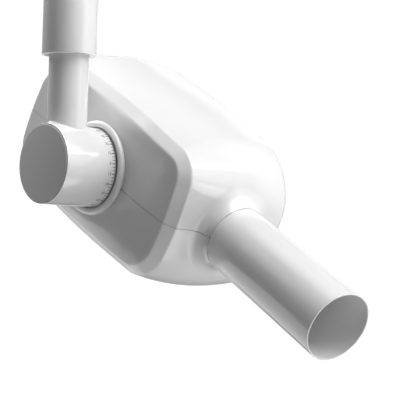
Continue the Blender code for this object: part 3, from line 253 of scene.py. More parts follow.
# ---- camera ----
CAMERA_AZIMUTH = -40.468 * DEG
CAMERA_ELEVATION = -3.235 * DEG
CAMERA_ROLL = 1.691 * DEG
CAMERA_PLACE = Vector((-1.2539, -1.6588, -0.3202))
CAMERA_LENS = 206.7
CAMERA_SENSOR = 36.0


# ---------------------------------------------------------------- materials
class Shader:
    """A node tree with a Principled shader, and short ways to add the usual nodes."""

    def __init__(self, name, colour, roughness, metallic=0.0):
        self.material = bpy.data.materials.new(name)
        self.material.use_nodes = True
        self.tree = self.material.node_tree
        self.shader = self.tree.nodes["Principled BSDF"]
        self.set("Base Color", (*colour, 1.0))
        self.set("Roughness", roughness)
        self.set("Metallic", metallic)
        self.place = self.tree.nodes.new("ShaderNodeTexCoord").outputs["Object"]

    def set(self, socket, value):
        self.shader.inputs[socket].default_value = value

    def link(self, output, socket):
        self.tree.links.new(output, self.shader.inputs[socket])

    def noise(self, scale, detail=3.0, stretch=None):
        node = self.tree.nodes.new("ShaderNodeTexNoise")
        node.inputs["Scale"].default_value = scale
        node.inputs["Detail"].default_value = detail
        source = self.place
        if stretch:
            mapping = self.tree.nodes.new("ShaderNodeMapping")
            mapping.inputs["Scale"].default_value = stretch
            self.tree.links.new(source, mapping.inputs["Vector"])
            source = mapping.outputs["Vector"]
        self.tree.links.new(source, node.inputs["Vector"])
        return node.outputs["Fac"]

    def spread(self, value, low, high):
        """Maps a 0 to 1 value onto low to high."""
        node = self.tree.nodes.new("ShaderNodeMapRange")
        node.inputs["To Min"].default_value = low
        node.inputs["To Max"].default_value = high
        self.tree.links.new(value, node.inputs["Value"])
        return node.outputs["Result"]

    def tint(self, value, first, second):
        """Mixes two colours by a 0 to 1 value."""
        node = self.tree.nodes.new("ShaderNodeValToRGB")
        node.color_ramp.elements[0].color = (*first, 1.0)
        node.color_ramp.elements[1].color = (*second, 1.0)
        node.color_ramp.elements[0].position = 0.35
        node.color_ramp.elements[1].position = 0.65
        self.tree.links.new(value, node.inputs["Fac"])
        return node.outputs["Color"]

    def bump(self, value, strength, depth, below=None):
        node = self.tree.nodes.new("ShaderNodeBump")
        node.inputs["Strength"].default_value = strength
        node.inputs["Distance"].default_value = depth
        self.tree.links.new(value, node.inputs["Height"])
        if below:
            self.tree.links.new(below, node.inputs["Normal"])
        return node.outputs["Normal"]


def moulded_white():
    """Glossy white moulded plastic with a faint flow texture."""
    made = Shader("moulded_white", (0.80, 0.80, 0.80), 0.2)
    made.link(made.tint(made.noise(14.0), (0.79, 0.79, 0.79), (0.81, 0.81, 0.808)), "Base Color")
    made.link(made.spread(made.noise(60.0, 4.0), 0.1, 0.16), "Roughness")
    made.set("IOR", 1.5)
    made.link(made.bump(made.noise(900.0, 2.0), 0.03, 0.05 * MM), "Normal")
    return made.material


def enamel_white():
    """Glossy white paint on metal, with a faint orange-peel surface."""
    made = Shader("enamel_white", (0.80, 0.80, 0.80), 0.16)
    made.link(made.tint(made.noise(20.0), (0.79, 0.79, 0.788), (0.81, 0.81, 0.81)), "Base Color")
    made.link(made.spread(made.noise(80.0, 3.0), 0.09, 0.14), "Roughness")
    made.set("Coat Weight", 0.3)
    made.set("Coat Roughness", 0.04)
    made.link(made.bump(made.noise(700.0, 1.0), 0.03, 0.05 * MM), "Normal")
    return made.material


def cap_grey():
    """Matte grey moulded plastic with a fine grain."""
    made = Shader("cap_grey", (0.58, 0.58, 0.58), 0.55)
    made.link(made.tint(made.noise(1500.0, 2.0), (0.57, 0.57, 0.57), (0.6, 0.6, 0.6)), "Base Color")
    made.link(made.spread(made.noise(300.0), 0.5, 0.62), "Roughness")
    made.link(made.bump(made.noise(2500.0, 2.0), 0.15, 0.05 * MM), "Normal")
    return made.material


def metal(name, first, second, low, high, grain=(1.0, 1.0, 1.0)):
    made = Shader(name, first, low, 1.0)
    made.link(made.tint(made.noise(120.0, 3.0, grain), first, second), "Base Color")
    made.link(made.spread(made.noise(500.0, 2.0, grain), low, high), "Roughness")
    made.link(made.bump(made.noise(1200.0, 2.0, grain), 0.1, 0.03 * MM), "Normal")
    return made.material


def dull(name, first, second, low, high, scale=400.0):
    made = Shader(name, first, low)
    made.link(made.tint(made.noise(scale, 3.0), first, second), "Base Color")
    made.link(made.spread(made.noise(scale * 1.7, 2.0), low, high), "Roughness")
    made.link(made.bump(made.noise(scale * 3.0, 2.0), 0.12, 0.05 * MM), "Normal")
    return made.material


def scale_ink():
    """Dark grey printing ink, slightly worn."""
    return dull("scale_ink", (0.035, 0.035, 0.04), (0.07, 0.07, 0.075), 0.4, 0.55, 900.0)


def clear_glass():
    made = Shader("clear_glass", (0.88, 0.92, 0.92), 0.04)
    made.set("Transmission Weight", 0.9)
    made.link(made.spread(made.noise(90.0), 0.02, 0.06), "Roughness")
    return made.material


def make_materials():
    return {
        "gloss_white": moulded_white(),
        "painted_white": enamel_white(),
        "cap_grey": cap_grey(),
        "steel": metal("steel", (0.56, 0.56, 0.58), (0.66, 0.66, 0.67), 0.25, 0.4, (1, 1, 6)),
        "aluminium": metal("aluminium", (0.72, 0.73, 0.74), (0.8, 0.8, 0.81), 0.3, 0.45, (1, 1, 5)),
        "bronze": metal("bronze", (0.58, 0.38, 0.18), (0.66, 0.45, 0.23), 0.3, 0.45),
        "bush_plastic": dull("bush_plastic", (0.7, 0.68, 0.6), (0.77, 0.75, 0.68), 0.45, 0.6),
        "black_rubber": dull("black_rubber", (0.02, 0.02, 0.02), (0.04, 0.04, 0.04), 0.7, 0.85),
        "lead": metal("lead", (0.26, 0.27, 0.29), (0.33, 0.34, 0.36), 0.5, 0.7),
        "copper": metal("copper", (0.68, 0.33, 0.2), (0.76, 0.4, 0.26), 0.3, 0.45),
        "core_steel": metal("core_steel", (0.16, 0.16, 0.18), (0.24, 0.24, 0.26), 0.45, 0.6, (1, 1, 40)),
        "winding": metal("winding", (0.5, 0.2, 0.08), (0.62, 0.28, 0.12), 0.35, 0.5, (40, 1, 1)),
        "clear_glass": clear_glass(),
        "board_green": dull("board_green", (0.04, 0.22, 0.1), (0.06, 0.3, 0.15), 0.4, 0.5),
    }


# ---------------------------------------------------------------- mesh tools
def piece(name, mesh, finish, body, slot, *nodes, sharp=32.0):
    """A finished visible piece that rides on a body and stands for CAD nodes."""
    mesh.shade_smooth()
    mesh.set_sharp_from_angle(angle=sharp * DEG)
    made = bpy.data.objects.new(name, mesh)
    bpy.context.scene.collection.objects.link(made)
    mesh.materials.clear()
    mesh.materials.append(finish)
    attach(made, body)
    if nodes:
        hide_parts(*nodes)
    return made


def rounded(corners, steps=5):
    """Rounds an outline of (r, h, fillet radius) corners; the outline closes on itself."""
    points = []
    count = len(corners)
    for index, (r, h, fillet) in enumerate(corners):
        here = Vector((r, h))
        if not fillet:
            points.append(here)
            continue
        before = (Vector(corners[index - 1][:2]) - here).normalized()
        after = (Vector(corners[(index + 1) % count][:2]) - here).normalized()
        half = before.angle(after) / 2
        reach = fillet / math.tan(half)
        centre = here + (before + after).normalized() * (fillet / math.sin(half))
        first = here + before * reach - centre
        last = here + after * reach - centre
        turn = first.angle_signed(last)
        for step in range(steps + 1):
            points.append(centre + Matrix.Rotation(-turn * step / steps, 2) @ first)
    return [(point.x, point.y) for point in points]


def spun(profile, matrix, segments=ROUND):
    """A closed solid of revolution: (r, h) points turned about the matrix's Z axis."""
    bm = bmesh.new()
    rings = []
    for r, h in profile:
        if r < 1e-7:
            rings.append([bm.verts.new((0, 0, h))])
            continue
        rings.append([bm.verts.new((r * math.cos(math.tau * k / segments),
                                    r * math.sin(math.tau * k / segments), h))
                      for k in range(segments)])
    closed = len(rings[0]) > 1
    pairs = list(zip(rings, rings[1:])) + ([(rings[-1], rings[0])] if closed else [])
    for low, high in pairs:
        for k in range(segments):
            after = (k + 1) % segments
            if len(low) == 1 and len(high) == 1:
                break
            if len(low) == 1:
                bm.faces.new((low[0], high[after], high[k]))
            elif len(high) == 1:
                bm.faces.new((low[k], low[after], high[0]))
            else:
                bm.faces.new((low[k], low[after], high[after], high[k]))
    return finished(bm, matrix)


def finished(bm, matrix=None):
    bmesh.ops.recalc_face_normals(bm, faces=bm.faces)
    mesh = bpy.data.meshes.new("shape")
    bm.to_mesh(mesh)
    bm.free()
    if matrix:
        mesh.transform(matrix)
    return mesh


def cut(mesh, *tools, operation="DIFFERENCE", solver="EXACT"):
    """The mesh with other meshes cut away from it, or joined to it."""
    base = bpy.data.objects.new("base", mesh)
    bpy.context.scene.collection.objects.link(base)
    made = []
    for tool in tools:
        other = bpy.data.objects.new("tool", tool)
        bpy.context.scene.collection.objects.link(other)
        made.append(other)
        modifier = base.modifiers.new("cut", "BOOLEAN")
        modifier.operation = operation
        modifier.solver = solver
        modifier.object = other
    graph = bpy.context.evaluated_depsgraph_get()
    result = bpy.data.meshes.new_from_object(base.evaluated_get(graph))
    for item in [base] + made:
        bpy.data.objects.remove(item)
    return result


def rod(radius, low, high, matrix, segments=48):
    return spun([(0.0, low), (radius, low), (radius, high), (0.0, high)], matrix, segments)


ALONG_X = Matrix.Rotation(90 * DEG, 4, "Y")
DRUM = Matrix.Translation(TILT_AXIS) @ ALONG_X
HEAD = Matrix.Translation(TILT_AXIS) @ Matrix.Rotation(BEAM_TILT, 4, "X")
BEAM = HEAD @ Matrix.Translation((HEAD_CENTRE, 0, 0)) @ Matrix.Rotation(90 * DEG, 4, "X")
UPRIGHT = Matrix.Identity(4)


# ---------------------------------------------------------------- arm sleeve
def make_adapter_screws(looks):
    """The plug's three screws; returns what cuts their holes in the sleeve."""
    face = SLEEVE_RADIUS - ADAPTER_SCREW_SINK
    profile = [(0.0, ADAPTER_SCREW_START, 0), (ADAPTER_SCREW, ADAPTER_SCREW_START, 0.3 * MM),
               (ADAPTER_SCREW, face, 0.4 * MM), (0.0, face, 0)]
    socket = (ADAPTER_SOCKET, SLEEVE_RADIUS - ADAPTER_SOCKET_DEPTH, SLEEVE_RADIUS + CUT_PAST)
    height = Matrix.Translation((0, 0, ADAPTER_SCREW_HEIGHT))
    holes = []
    for number in range(3):
        turn = Matrix.Rotation((ADAPTER_SCREW_TURN + 120 * number) * DEG, 4, "Z")
        place = height @ turn @ Matrix.Rotation(90 * DEG, 4, "X")
        holes.append(rod(ADAPTER_HOLE, HOLE_START, HOLE_END, place))
        socket_screw(f"adapter_bolt_{number + 1}", profile, place, socket, "arm_socket",
                     looks["steel"], f"adapter_screw_{number + 1}")
    return holes


def make_brake_screw(looks):
    """The swivel's brake screw; returns what cuts its hole in the sleeve."""
    face = SLEEVE_RADIUS - BRAKE_SCREW_SINK
    profile = [(0.0, BRAKE_SCREW_START, 0), (BRAKE_SCREW, BRAKE_SCREW_START, 0.3 * MM),
               (BRAKE_SCREW, face, 0.5 * MM), (0.0, face, 0)]
    socket = (BRAKE_SOCKET, SLEEVE_RADIUS - BRAKE_SOCKET_DEPTH, SLEEVE_RADIUS + CUT_PAST)
    place = Matrix.Translation((0, 0, BRAKE_HEIGHT)) @ Matrix.Rotation(-90 * DEG, 4, "X")
    socket_screw("brake_bolt", profile, place, socket, "arm_socket", looks["steel"],
                 "swivel_brake_screw")
    return rod(BRAKE_HOLE, HOLE_START, HOLE_END, place)


def make_sleeve(looks):
    """The round sleeve, the lip round its lower end and the plug in its upper end."""
    low, high = SLEEVE_LOW.z, SLEEVE_HIGH.z
    profile = rounded([(SLEEVE_RADIUS, low, 0.7 * MM), (SLEEVE_RADIUS, high, 0.2 * MM),
                       (SLEEVE_BORE, high, 0), (SLEEVE_BORE, low, 0.2 * MM)])
    holes = make_adapter_screws(looks) + [make_brake_screw(looks)]
    shell = cut(spun(profile, UPRIGHT), *holes)
    piece("sleeve_tube", shell, looks["painted_white"], "arm_socket", "painted_white", "arm_sleeve")
    inset = SLEEVE_BORE - SLEEVE_LIP_PLAY
    lip_top = low + SLEEVE_LIP_HEIGHT
    lip = rounded([(SLEEVE_LIP_BORE, low, 0.5 * MM), (inset, low, 0.3 * MM), (inset, lip_top, 0),
                   (SLEEVE_LIP_BORE, lip_top, 0.3 * MM)])
    piece("sleeve_lip", spun(lip, UPRIGHT), looks["painted_white"], "arm_socket", "painted_white",
          "sleeve_end_ring")
    seat = high + PLUG_PLAY
    inset = SLEEVE_BORE - PLUG_PLAY
    plug = rounded([(CABLE_HOLE, 0.0, 0.6 * MM), (SLEEVE_RADIUS, 0.0, 1.2 * MM),
                    (SLEEVE_RADIUS, seat, 0.2 * MM), (inset, seat, 0), (inset, -PLUG_DEPTH, 0.5 * MM),
                    (CABLE_HOLE, -PLUG_DEPTH, 0)])
    piece("arm_plug", spun(plug, UPRIGHT), looks["aluminium"], "arm_socket", "aluminium",
          "arm_adapter_plug")


# ---------------------------------------------------------------- knuckle
def stem_mesh(segments=96, flare_steps=10):
    """The stem, with a foot that flares onto the drum's round back."""
    bm = bmesh.new()
    rows = []
    top = SLEEVE_LOW.z + STEM_IN_SLEEVE - TILT_AXIS.z
    for row in range(flare_steps + 3):
        loop = []
        for step in range(segments):
            angle = math.tau * step / segments
            across = (STEM_RADIUS + STEM_FLARE) * math.sin(angle)
            foot = math.sqrt(DRUM_RADIUS ** 2 - across ** 2) - STEM_SINK
            sweep = 90 * DEG * min(max(row - 1, 0), flare_steps) / flare_steps
            radius = STEM_RADIUS + STEM_FLARE * (1 - math.sin(sweep))
            height = foot + STEM_FLARE * (1 - math.cos(sweep))
            if row == 0:
                height = DRUM_RADIUS - STEM_ROOT
            if row == flare_steps + 2:
                height = top
            loop.append(bm.verts.new((radius * math.cos(angle), radius * math.sin(angle), height)))
        rows.append(loop)
    for low, high in zip(rows, rows[1:]):
        for step in range(segments):
            after = (step + 1) % segments
            bm.faces.new((low[step], low[after], high[after], high[step]))
    bm.faces.new(rows[0])
    bm.faces.new(rows[-1])
    return finished(bm, Matrix.Translation(TILT_AXIS))


def make_knuckle(looks):
    """The drum and stem in one, with their bores."""
    open_end, far_end = DRUM_LOW.x, DRUM_HIGH.x
    pocket = CAP_RADIUS + CAP_PLAY
    drum = rounded([(DRUM_RADIUS, open_end, 0.45 * MM), (DRUM_RADIUS, far_end, 0.6 * MM),
                    (BUSH_HOLE, far_end, 0), (BUSH_HOLE, DRUM_BORE_END, 0),
                    (DRUM_BORE, DRUM_BORE_END, 0), (DRUM_BORE, CAP_SEAT, 0), (pocket, CAP_SEAT, 0),
                    (pocket, open_end, 0.25 * MM)])
    body = cut(spun(drum, DRUM, FINE_ROUND), stem_mesh(), operation="UNION")
    middle = Matrix.Translation(TILT_AXIS)
    bores = [rod(STEM_BORE, STEM_BORE_START, STEM_BORE_END, middle),
             rod(CABLE_WAY, DRUM_BORE_END, STEM_BORE_START + CUT_PAST, middle),
             rod(DRUM_BORE - DRUM_BORE_SHY, CAP_SEAT + FOOT_CUT_INSET, DRUM_BORE_END - FOOT_CUT_INSET, DRUM)]
    piece("knuckle_casting", cut(body, *bores), looks["painted_white"], "knuckle", "painted_white",
          "knuckle_housing", sharp=25)


def make_cap(looks):
    """The grey cap, with a skirt that enters the drum's bore."""
    face, skirt_end = CAP_LOW.x, CAP_HIGH.x
    seat = CAP_SEAT - CAP_PLAY
    cap = rounded([(0.0, face, 0), (CAP_RADIUS, face, 0.8 * MM), (CAP_RADIUS, seat, 0),
                   (CAP_SKIRT_RADIUS, seat, 0), (CAP_SKIRT_RADIUS, skirt_end, 0),
                   (CAP_SKIRT_BORE, skirt_end, 0), (CAP_SKIRT_BORE, seat, 0), (0.0, seat, 0)])
    piece("drum_cap", spun(cap, DRUM), looks["cap_grey"], "knuckle", "cap_grey", "end_cap")


def make_collar(looks):
    """The boss's bead, round in section, with a flat back on the casing."""
    middle = (COLLAR_RADIUS + COLLAR_RIM_BORE) / 2
    half = (COLLAR_RADIUS - COLLAR_RIM_BORE) / 2
    profile = [(SHAFT_HOLE, COLLAR_BACK), (SHAFT_HOLE, COLLAR_BEAD_CENTRE)]
    for step in range(COLLAR_BEAD_STEPS + 1):
        angle = (180 + COLLAR_BEAD_TURN * step / COLLAR_BEAD_STEPS) * DEG
        profile.append((middle + half * math.cos(angle), COLLAR_BEAD_CENTRE + half * math.sin(angle)))
    profile.append((COLLAR_RADIUS - COLLAR_TUCK, COLLAR_BACK))
    piece("boss_bead", spun(profile, DRUM, FINE_ROUND), looks["gloss_white"], "head", "gloss_white",
          "boss_collar")


# ---------------------------------------------------------------- angle scale
def on_drum(along, angle, lift):
    """A point on the drum: along its axis, round it from straight ahead, lifted off its surface."""
    radius = DRUM_RADIUS + lift
    return TILT_AXIS + Vector((along, -radius * math.cos(angle), radius * math.sin(angle)))


def mark(bm, start, end, angle, width):
    """A thin raised bar along the drum's axis."""
    half = width / 2 / DRUM_RADIUS
    corners = []
    for height in (-INK_DEPTH, INK_LIFT):
        for along, turn in ((start, -half), (end, -half), (end, half), (start, half)):
            corners.append(bm.verts.new(on_drum(along, angle + turn, height)))
    low, high = corners[:4], corners[4:]
    bm.faces.new(low[::-1])
    bm.faces.new(high)
    for k in range(4):
        after = (k + 1) % 4
        bm.faces.new((low[k], low[after], high[after], high[k]))


def make_scale(looks):
    """Ticks and plain numerals round the drum's far end."""
    edge = DRUM_HIGH.x - SCALE_INSET
    readings = [reading for reading in range(-180, 180, TICK_STEP)
                if SCALE_LOW < SCALE_ZERO + reading < SCALE_HIGH]
    bm = bmesh.new()
    for reading in readings:
        angle = (SCALE_ZERO + reading) * DEG
        if reading % NUMERAL_STEP:
            mark(bm, edge - TICK_LENGTH, edge, angle, TICK_WIDTH)
        else:
            mark(bm, edge - LONG_TICK_LENGTH, edge, angle, LONG_TICK_WIDTH)
    piece("scale_ticks", finished(bm), looks["ink"], "knuckle", "cap_grey")
    for reading in readings:
        if reading % NUMERAL_STEP == 0:
            make_numeral(reading, edge - NUMERAL_PLACE, looks["ink"])


def make_numeral(reading, along, finish):
    """A numeral wrapped round the drum, reading along the axis."""
    label = str(abs(reading))
    curve = bpy.data.curves.new("numeral", "FONT")
    curve.body = label
    curve.size = NUMERAL_SIZE
    curve.align_x = "CENTER"
    curve.align_y = "CENTER"
    curve.extrude = NUMERAL_DEPTH
    curve.resolution_u = 2
    source = bpy.data.objects.new("numeral", curve)
    bpy.context.scene.collection.objects.link(source)
    flat = bpy.data.meshes.new_from_object(source)
    bpy.data.objects.remove(source)
    bm = bmesh.new()
    bm.from_mesh(flat)
    bmesh.ops.remove_doubles(bm, verts=bm.verts, dist=MERGE)
    middle = (SCALE_ZERO + reading) * DEG
    for vert in bm.verts:
        across, up, out = vert.co
        vert.co = on_drum(along + across, middle + up / DRUM_RADIUS, out - NUMERAL_SINK)
    side = "up" if reading > 0 else "down"
    piece(f"scale_numeral_{side}_{label}", finished(bm), finish, "knuckle", "cap_grey")


# ---------------------------------------------------------------- casing
def bulge(part):
    """A swelling that is 1 in the middle and runs out smoothly where part reaches 1."""
    return (1 - np.clip(part, 0, 1) ** 2) ** 2


def outline_distance(u, w, crown, far, edge_corner, mid_corner):
    """Signed distance in the (u, w) plane to the casing's side profile; negative inside."""
    drop = far * (1 - crown)
    high = HALF_HEIGHT + TOP_CROWN * crown + FAR_RISE * drop
    front = FRONT + FRONT_CROWN * crown - FAR_SETBACK * drop
    rear = REAR + REAR_CROWN * crown
    corner = edge_corner + (mid_corner - edge_corner) * crown
    middle = (front - corner - rear + REAR_CORNER) / 2
    half_flat = (front - corner + rear - REAR_CORNER) / 2
    top = high + TOP_BULGE * bulge(np.abs(u - middle) / (half_flat + 0.5 * corner))
    reach_front = front + FRONT_BULGE * bulge(np.abs(w) / high)
    reach_rear = rear + REAR_BULGE * bulge(np.abs(w) / high)
    ahead = u > middle
    radius = np.where(ahead, corner, REAR_CORNER)
    x = np.where(ahead, u - reach_front, -u - reach_rear) + radius
    y = np.abs(w) - top + radius
    outside = np.hypot(np.maximum(x, 0), np.maximum(y, 0))
    return outside + np.minimum(np.maximum(x, y), 0) - radius


def soft_max(a, b, k):
    h = np.maximum(k - np.abs(a - b), 0) / k
    return np.maximum(a, b) + h * h * k / 4


def casing_distance(x, u, w):
    """Roughly the signed distance to the casing's outer surface, without the neck."""
    far = x > HEAD_CENTRE
    across = np.abs(x - HEAD_CENTRE)
    upper_corner = np.where(far, UPPER_FAR_CORNER, UPPER_CORNER)
    lower_corner = np.where(far, LOWER_FAR_CORNER, LOWER_CORNER)
    edge_corner = np.where(w > 0, upper_corner, lower_corner)
    mid_corner = np.where(w > 0, UPPER_MID_CORNER, LOWER_MID_CORNER)
    crown = np.clip(1 - (across / EDGE_HALF) ** 2, 0, 1)
    body = outline_distance(u, w, crown, far, edge_corner, mid_corner)
    plain = outline_distance(u, w, 0.0, far, edge_corner, mid_corner)
    chamfer = CHAMFER_RUN * plain + CHAMFER * (across - EDGE_HALF)
    chamfer /= math.hypot(CHAMFER_RUN, CHAMFER)
    inset = np.maximum(-plain - CHAMFER, 0)
    out = np.maximum(np.hypot(u, w) - BOSS_RADIUS, 0)
    part = inset / (inset + out + 1e-9)
    side = across - EDGE_HALF - CHAMFER_RUN - BOSS_RISE * (2 * part - part ** 2)
    return soft_max(body, soft_max(chamfer, side, EDGE_SOFTNESS), EDGE_SOFTNESS)


def shell_distance(x, u, w):
    """The casing with its flared neck: a round fillet joins the two."""
    body = casing_distance(x, u, w)
    neck = np.hypot(x - HEAD_CENTRE, w) - NECK_RADIUS
    near_body = np.maximum(NECK_FLARE - body, 0)
    near_neck = np.maximum(NECK_FLARE - neck, 0)
    joined = np.maximum(NECK_FLARE, np.minimum(body, neck)) - np.hypot(near_body, near_neck)
    return np.where(u > 0, np.minimum(joined, body), body)


def spread_angles(*stretches):
    """Angles in degrees along stretches of (start, end, step)."""
    angles = []
    for start, end, step in stretches:
        count = max(1, round((end - start) / step))
        angles += [start + (end - start) * k / count for k in range(count)]
    return angles + [stretches[-1][1]]


def furthest_inside(inside, near, far):
    """By halving, the furthest reach between near and far at which inside(reach) still holds."""
    for _ in range(30):
        middle = (near + far) / 2
        within = inside(middle)
        near = np.where(within, middle, near)
        far = np.where(within, far, middle)
    return near


def shell_points(theta, phi):
    """Points of the outer surface along rays from the casing's middle, as (x, u, w) arrays."""
    along = np.cos(theta)[:, None] * np.ones_like(phi)[None, :]
    side = np.sin(theta)[:, None] * np.cos(phi)[None, :]
    up = np.sin(theta)[:, None] * np.sin(phi)[None, :]

    def inside(reach):
        return shell_distance(HEAD_CENTRE + reach * side, reach * along, reach * up) < 0

    near, far = (np.full(along.shape, reach) for reach in RAY_REACH)
    reach = furthest_inside(inside, near, far)
    return np.stack([HEAD_CENTRE + reach * side, reach * along, reach * up], -1)


def shell_normals(points):
    """Outward normals from the distance's own slope."""
    step = 0.05 * MM
    slopes = []
    for axis in range(3):
        shift = np.zeros(3)
        shift[axis] = step
        ahead = shell_distance(*np.moveaxis(points + shift, -1, 0))
        behind = shell_distance(*np.moveaxis(points - shift, -1, 0))
        slopes.append(ahead - behind)
    normals = np.stack(slopes, -1)
    return normals / np.linalg.norm(normals, axis=-1, keepdims=True)


def half_shell(side):
    """One casing half as a closed shell: side is 1 for the upper one and -1 for the lower one."""
    neck_angle = math.degrees(math.atan2(NECK_RADIUS, NECK_END - NECK_LIP))
    theta = np.radians(spread_angles((neck_angle, FRONT_RAYS, 0.5), *RAY_STRETCHES))
    phi = np.radians(spread_angles(*TURN_STRETCHES))
    theta = theta[:len(theta) - (len(theta) - 1) % INNER_STEP]
    count = len(phi) - (len(phi) - 1) % INNER_STEP
    phi = np.interp(np.linspace(0, 1, count), np.linspace(0, 1, len(phi)), phi)
    outer = shell_points(theta, phi * side)
    normals = shell_normals(outer)
    outer = outer.copy()
    for column, inset, gap in SEAM_EASING:
        for edge in (column, -1 - column):
            outer[:, edge] -= normals[:, edge] * inset
            outer[:, edge, 2] = side * gap
    lip = outer[0].copy()
    lip[:, 1] = NECK_END
    middle = np.array([HEAD_CENTRE, 0.0, 0.0])
    radial = lip - middle
    radial[:, 1] = 0
    radial /= np.linalg.norm(radial, axis=-1, keepdims=True)
    lip -= radial * NECK_LIP_INSET
    outer = np.concatenate([lip[None], outer])
    normals = np.concatenate([radial[None], normals])
    picked_rows = [0] + list(range(1, outer.shape[0], INNER_STEP))
    picked_columns = list(range(0, outer.shape[1], INNER_STEP))
    inner = outer[picked_rows][:, picked_columns] - normals[picked_rows][:, picked_columns] * WALL
    inner[:, 0, 2] = inner[:, -1, 2] = side * SEAM_HALF_GAP
    return stitched(outer, inner, picked_rows, picked_columns)


def stitched(outer, inner, picked_rows, picked_columns):
    """Joins an outer grid and a coarser inner grid into one closed mesh."""
    bm = bmesh.new()
    out = [[bm.verts.new((x, -u, w)) for x, u, w in row] for row in outer]
    inn = [[bm.verts.new((x, -u, w)) for x, u, w in row] for row in inner]
    for grid in (out, inn):
        for low, high in zip(grid, grid[1:]):
            for k in range(len(low) - 1):
                bm.faces.new((low[k], low[k + 1], high[k + 1], high[k]))
    for grid in (out, inn):
        bm.faces.new(grid[-1])
    for k, (start, end) in enumerate(zip(picked_columns, picked_columns[1:])):
        bm.faces.new(out[0][start:end + 1] + [inn[0][k + 1], inn[0][k]])
    for edge in (0, -1):
        for k, (start, end) in enumerate(zip(picked_rows, picked_rows[1:])):
            rail = [row[edge] for row in out[start:end + 1]]
            bm.faces.new(rail + [inn[k + 1][edge], inn[k][edge]])
    bm.faces.new([out[-1][0], inn[-1][0], inn[-1][-1], out[-1][-1]])
    return finished(bm, HEAD)


def post_mesh(x, u, side, segments=48):
    """A screw post from the seam into the shell's wall, its end following the wall."""
    turn = np.arange(segments) * math.tau / segments
    xs = x + POST_RADIUS * np.cos(turn)
    us = u + POST_RADIUS * np.sin(turn)

    def inside(reach):
        return casing_distance(xs, us, side * reach) < -WALL / 2

    near, far = (np.full(segments, reach) for reach in POST_REACH)
    heights = furthest_inside(inside, near, far)
    bm = bmesh.new()
    low = [bm.verts.new((px, -pu, side * SEAM_HALF_GAP)) for px, pu in zip(xs, us)]
    high = [bm.verts.new((px, -pu, side * reach)) for px, pu, reach in zip(xs, us, heights)]
    tip = bm.verts.new((x, -u, side * heights.mean()))
    bm.faces.new(low)
    for k in range(segments):
        after = (k + 1) % segments
        bm.faces.new((low[k], low[after], high[after], high[k]))
        bm.faces.new((high[k], high[after], tip))
    return finished(bm, HEAD)


def post_hole(x, u, side):
    """What is drilled in a post: a blind pilot hole above the seam, a stepped hole below it."""
    shank = SCREW_SHANK + SCREW_PLAY
    head = SCREW_HEAD + SCREW_PLAY
    place = HEAD @ Matrix.Translation((x, -u, 0))
    if side > 0:
        return rod(shank, -CUT_PAST, SCREW_END + PILOT_SPARE, place)
    profile = [(0.0, RECESS_START), (head, RECESS_START), (head, SCREW_SEAT), (shank, SCREW_SEAT),
               (shank, CUT_PAST), (0.0, CUT_PAST)]
    return spun(profile, place, 64)


def socket_screw(name, profile, matrix, socket, body, finish, node):
    """A turned screw with a hexagon socket; socket is its (radius, floor, mouth)."""
    radius, floor, mouth = socket
    mesh = cut(spun(rounded(profile), matrix, 64), rod(radius, floor, mouth, matrix, 6))
    piece(name, mesh, finish, body, "steel", node)


def make_casing_screws(looks):
    """The four screws that hold the casing's halves together, from below."""
    seat = SCREW_SEAT - SCREW_PLAY
    end = seat - SCREW_HEAD_HEIGHT
    for number, (x, u) in enumerate(POST_PLACES):
        profile = [(0.0, end, 0), (SCREW_HEAD, end, 0.5 * MM), (SCREW_HEAD, seat, 0.2 * MM),
                   (SCREW_SHANK, seat, 0), (SCREW_SHANK, SCREW_END, 0.6 * MM), (0.0, SCREW_END, 0)]
        socket_screw(f"casing_bolt_{number + 1}", profile, HEAD @ Matrix.Translation((x, -u, 0)),
                     (SCREW_SOCKET, end - CUT_PAST, end + SCREW_SOCKET_DEPTH), "head", looks["steel"],
                     f"casing_screw_{number + 1}")


def make_casings(looks):
    """The casing's two halves, with screw posts and the shaft's hole."""
    hole = rod(SHAFT_HOLE, SHAFT_CUT_START, SHAFT_CUT_END, HEAD @ ALONG_X, 96)
    for name, side in (("upper", 1), ("lower", -1)):
        shell = half_shell(side)
        posts = [post_mesh(x, u, side) for x, u in POST_PLACES]
        shell = cut(shell, *posts, operation="UNION", solver="MANIFOLD")
        holes = [post_hole(x, u, side) for x, u in POST_PLACES]
        shell = cut(shell, *holes, hole.copy(), solver="MANIFOLD")
        piece(f"casing_{name}", shell, looks["gloss_white"], "head", "gloss_white",
              f"{name}_casing", sharp=40)


def make_cone(looks):
    """The open round cone, with the spigot that enters the neck."""
    shoulder = CONE_START + CONE_SHOULDER
    profile = rounded([(CONE_SPIGOT_BORE, CONE_SPIGOT_START, 0), (CONE_SPIGOT_RADIUS, CONE_SPIGOT_START, 0),
                       (CONE_SPIGOT_RADIUS, CONE_START, 0), (NECK_RADIUS, CONE_START, 0.25 * MM),
                       (CONE_MOUTH_RADIUS, CONE_END, CONE_LIP), (CONE_MOUTH_BORE, CONE_END, CONE_LIP),
                       (CONE_SHOULDER_BORE, shoulder, 0), (CONE_SPIGOT_BORE, shoulder, 0)])
    piece("cone_tube", spun(profile, BEAM, FINE_ROUND), looks["gloss_white"], "head", "gloss_white",
          "collimator_tube")


def make_liner(looks):
    """The lead liner in the cone's inner end; it widens with the cone."""
    slope = (CONE_MOUTH_BORE - CONE_SHOULDER_BORE) / (CONE_END - CONE_START)
    end = LINER_START + LINER_LENGTH
    outer = CONE_SHOULDER_BORE - LINER_PLAY
    wider = outer + slope * LINER_LENGTH
    liner = rounded([(outer - LINER_WALL, LINER_START, 0), (outer, LINER_START, 0),
                     (wider, end, 0.2 * MM), (wider - LINER_WALL, end, 0.2 * MM)])
    piece("cone_liner", spun(liner, BEAM, FINE_ROUND), looks["lead"], "head", "lead",
          "collimator_liner")


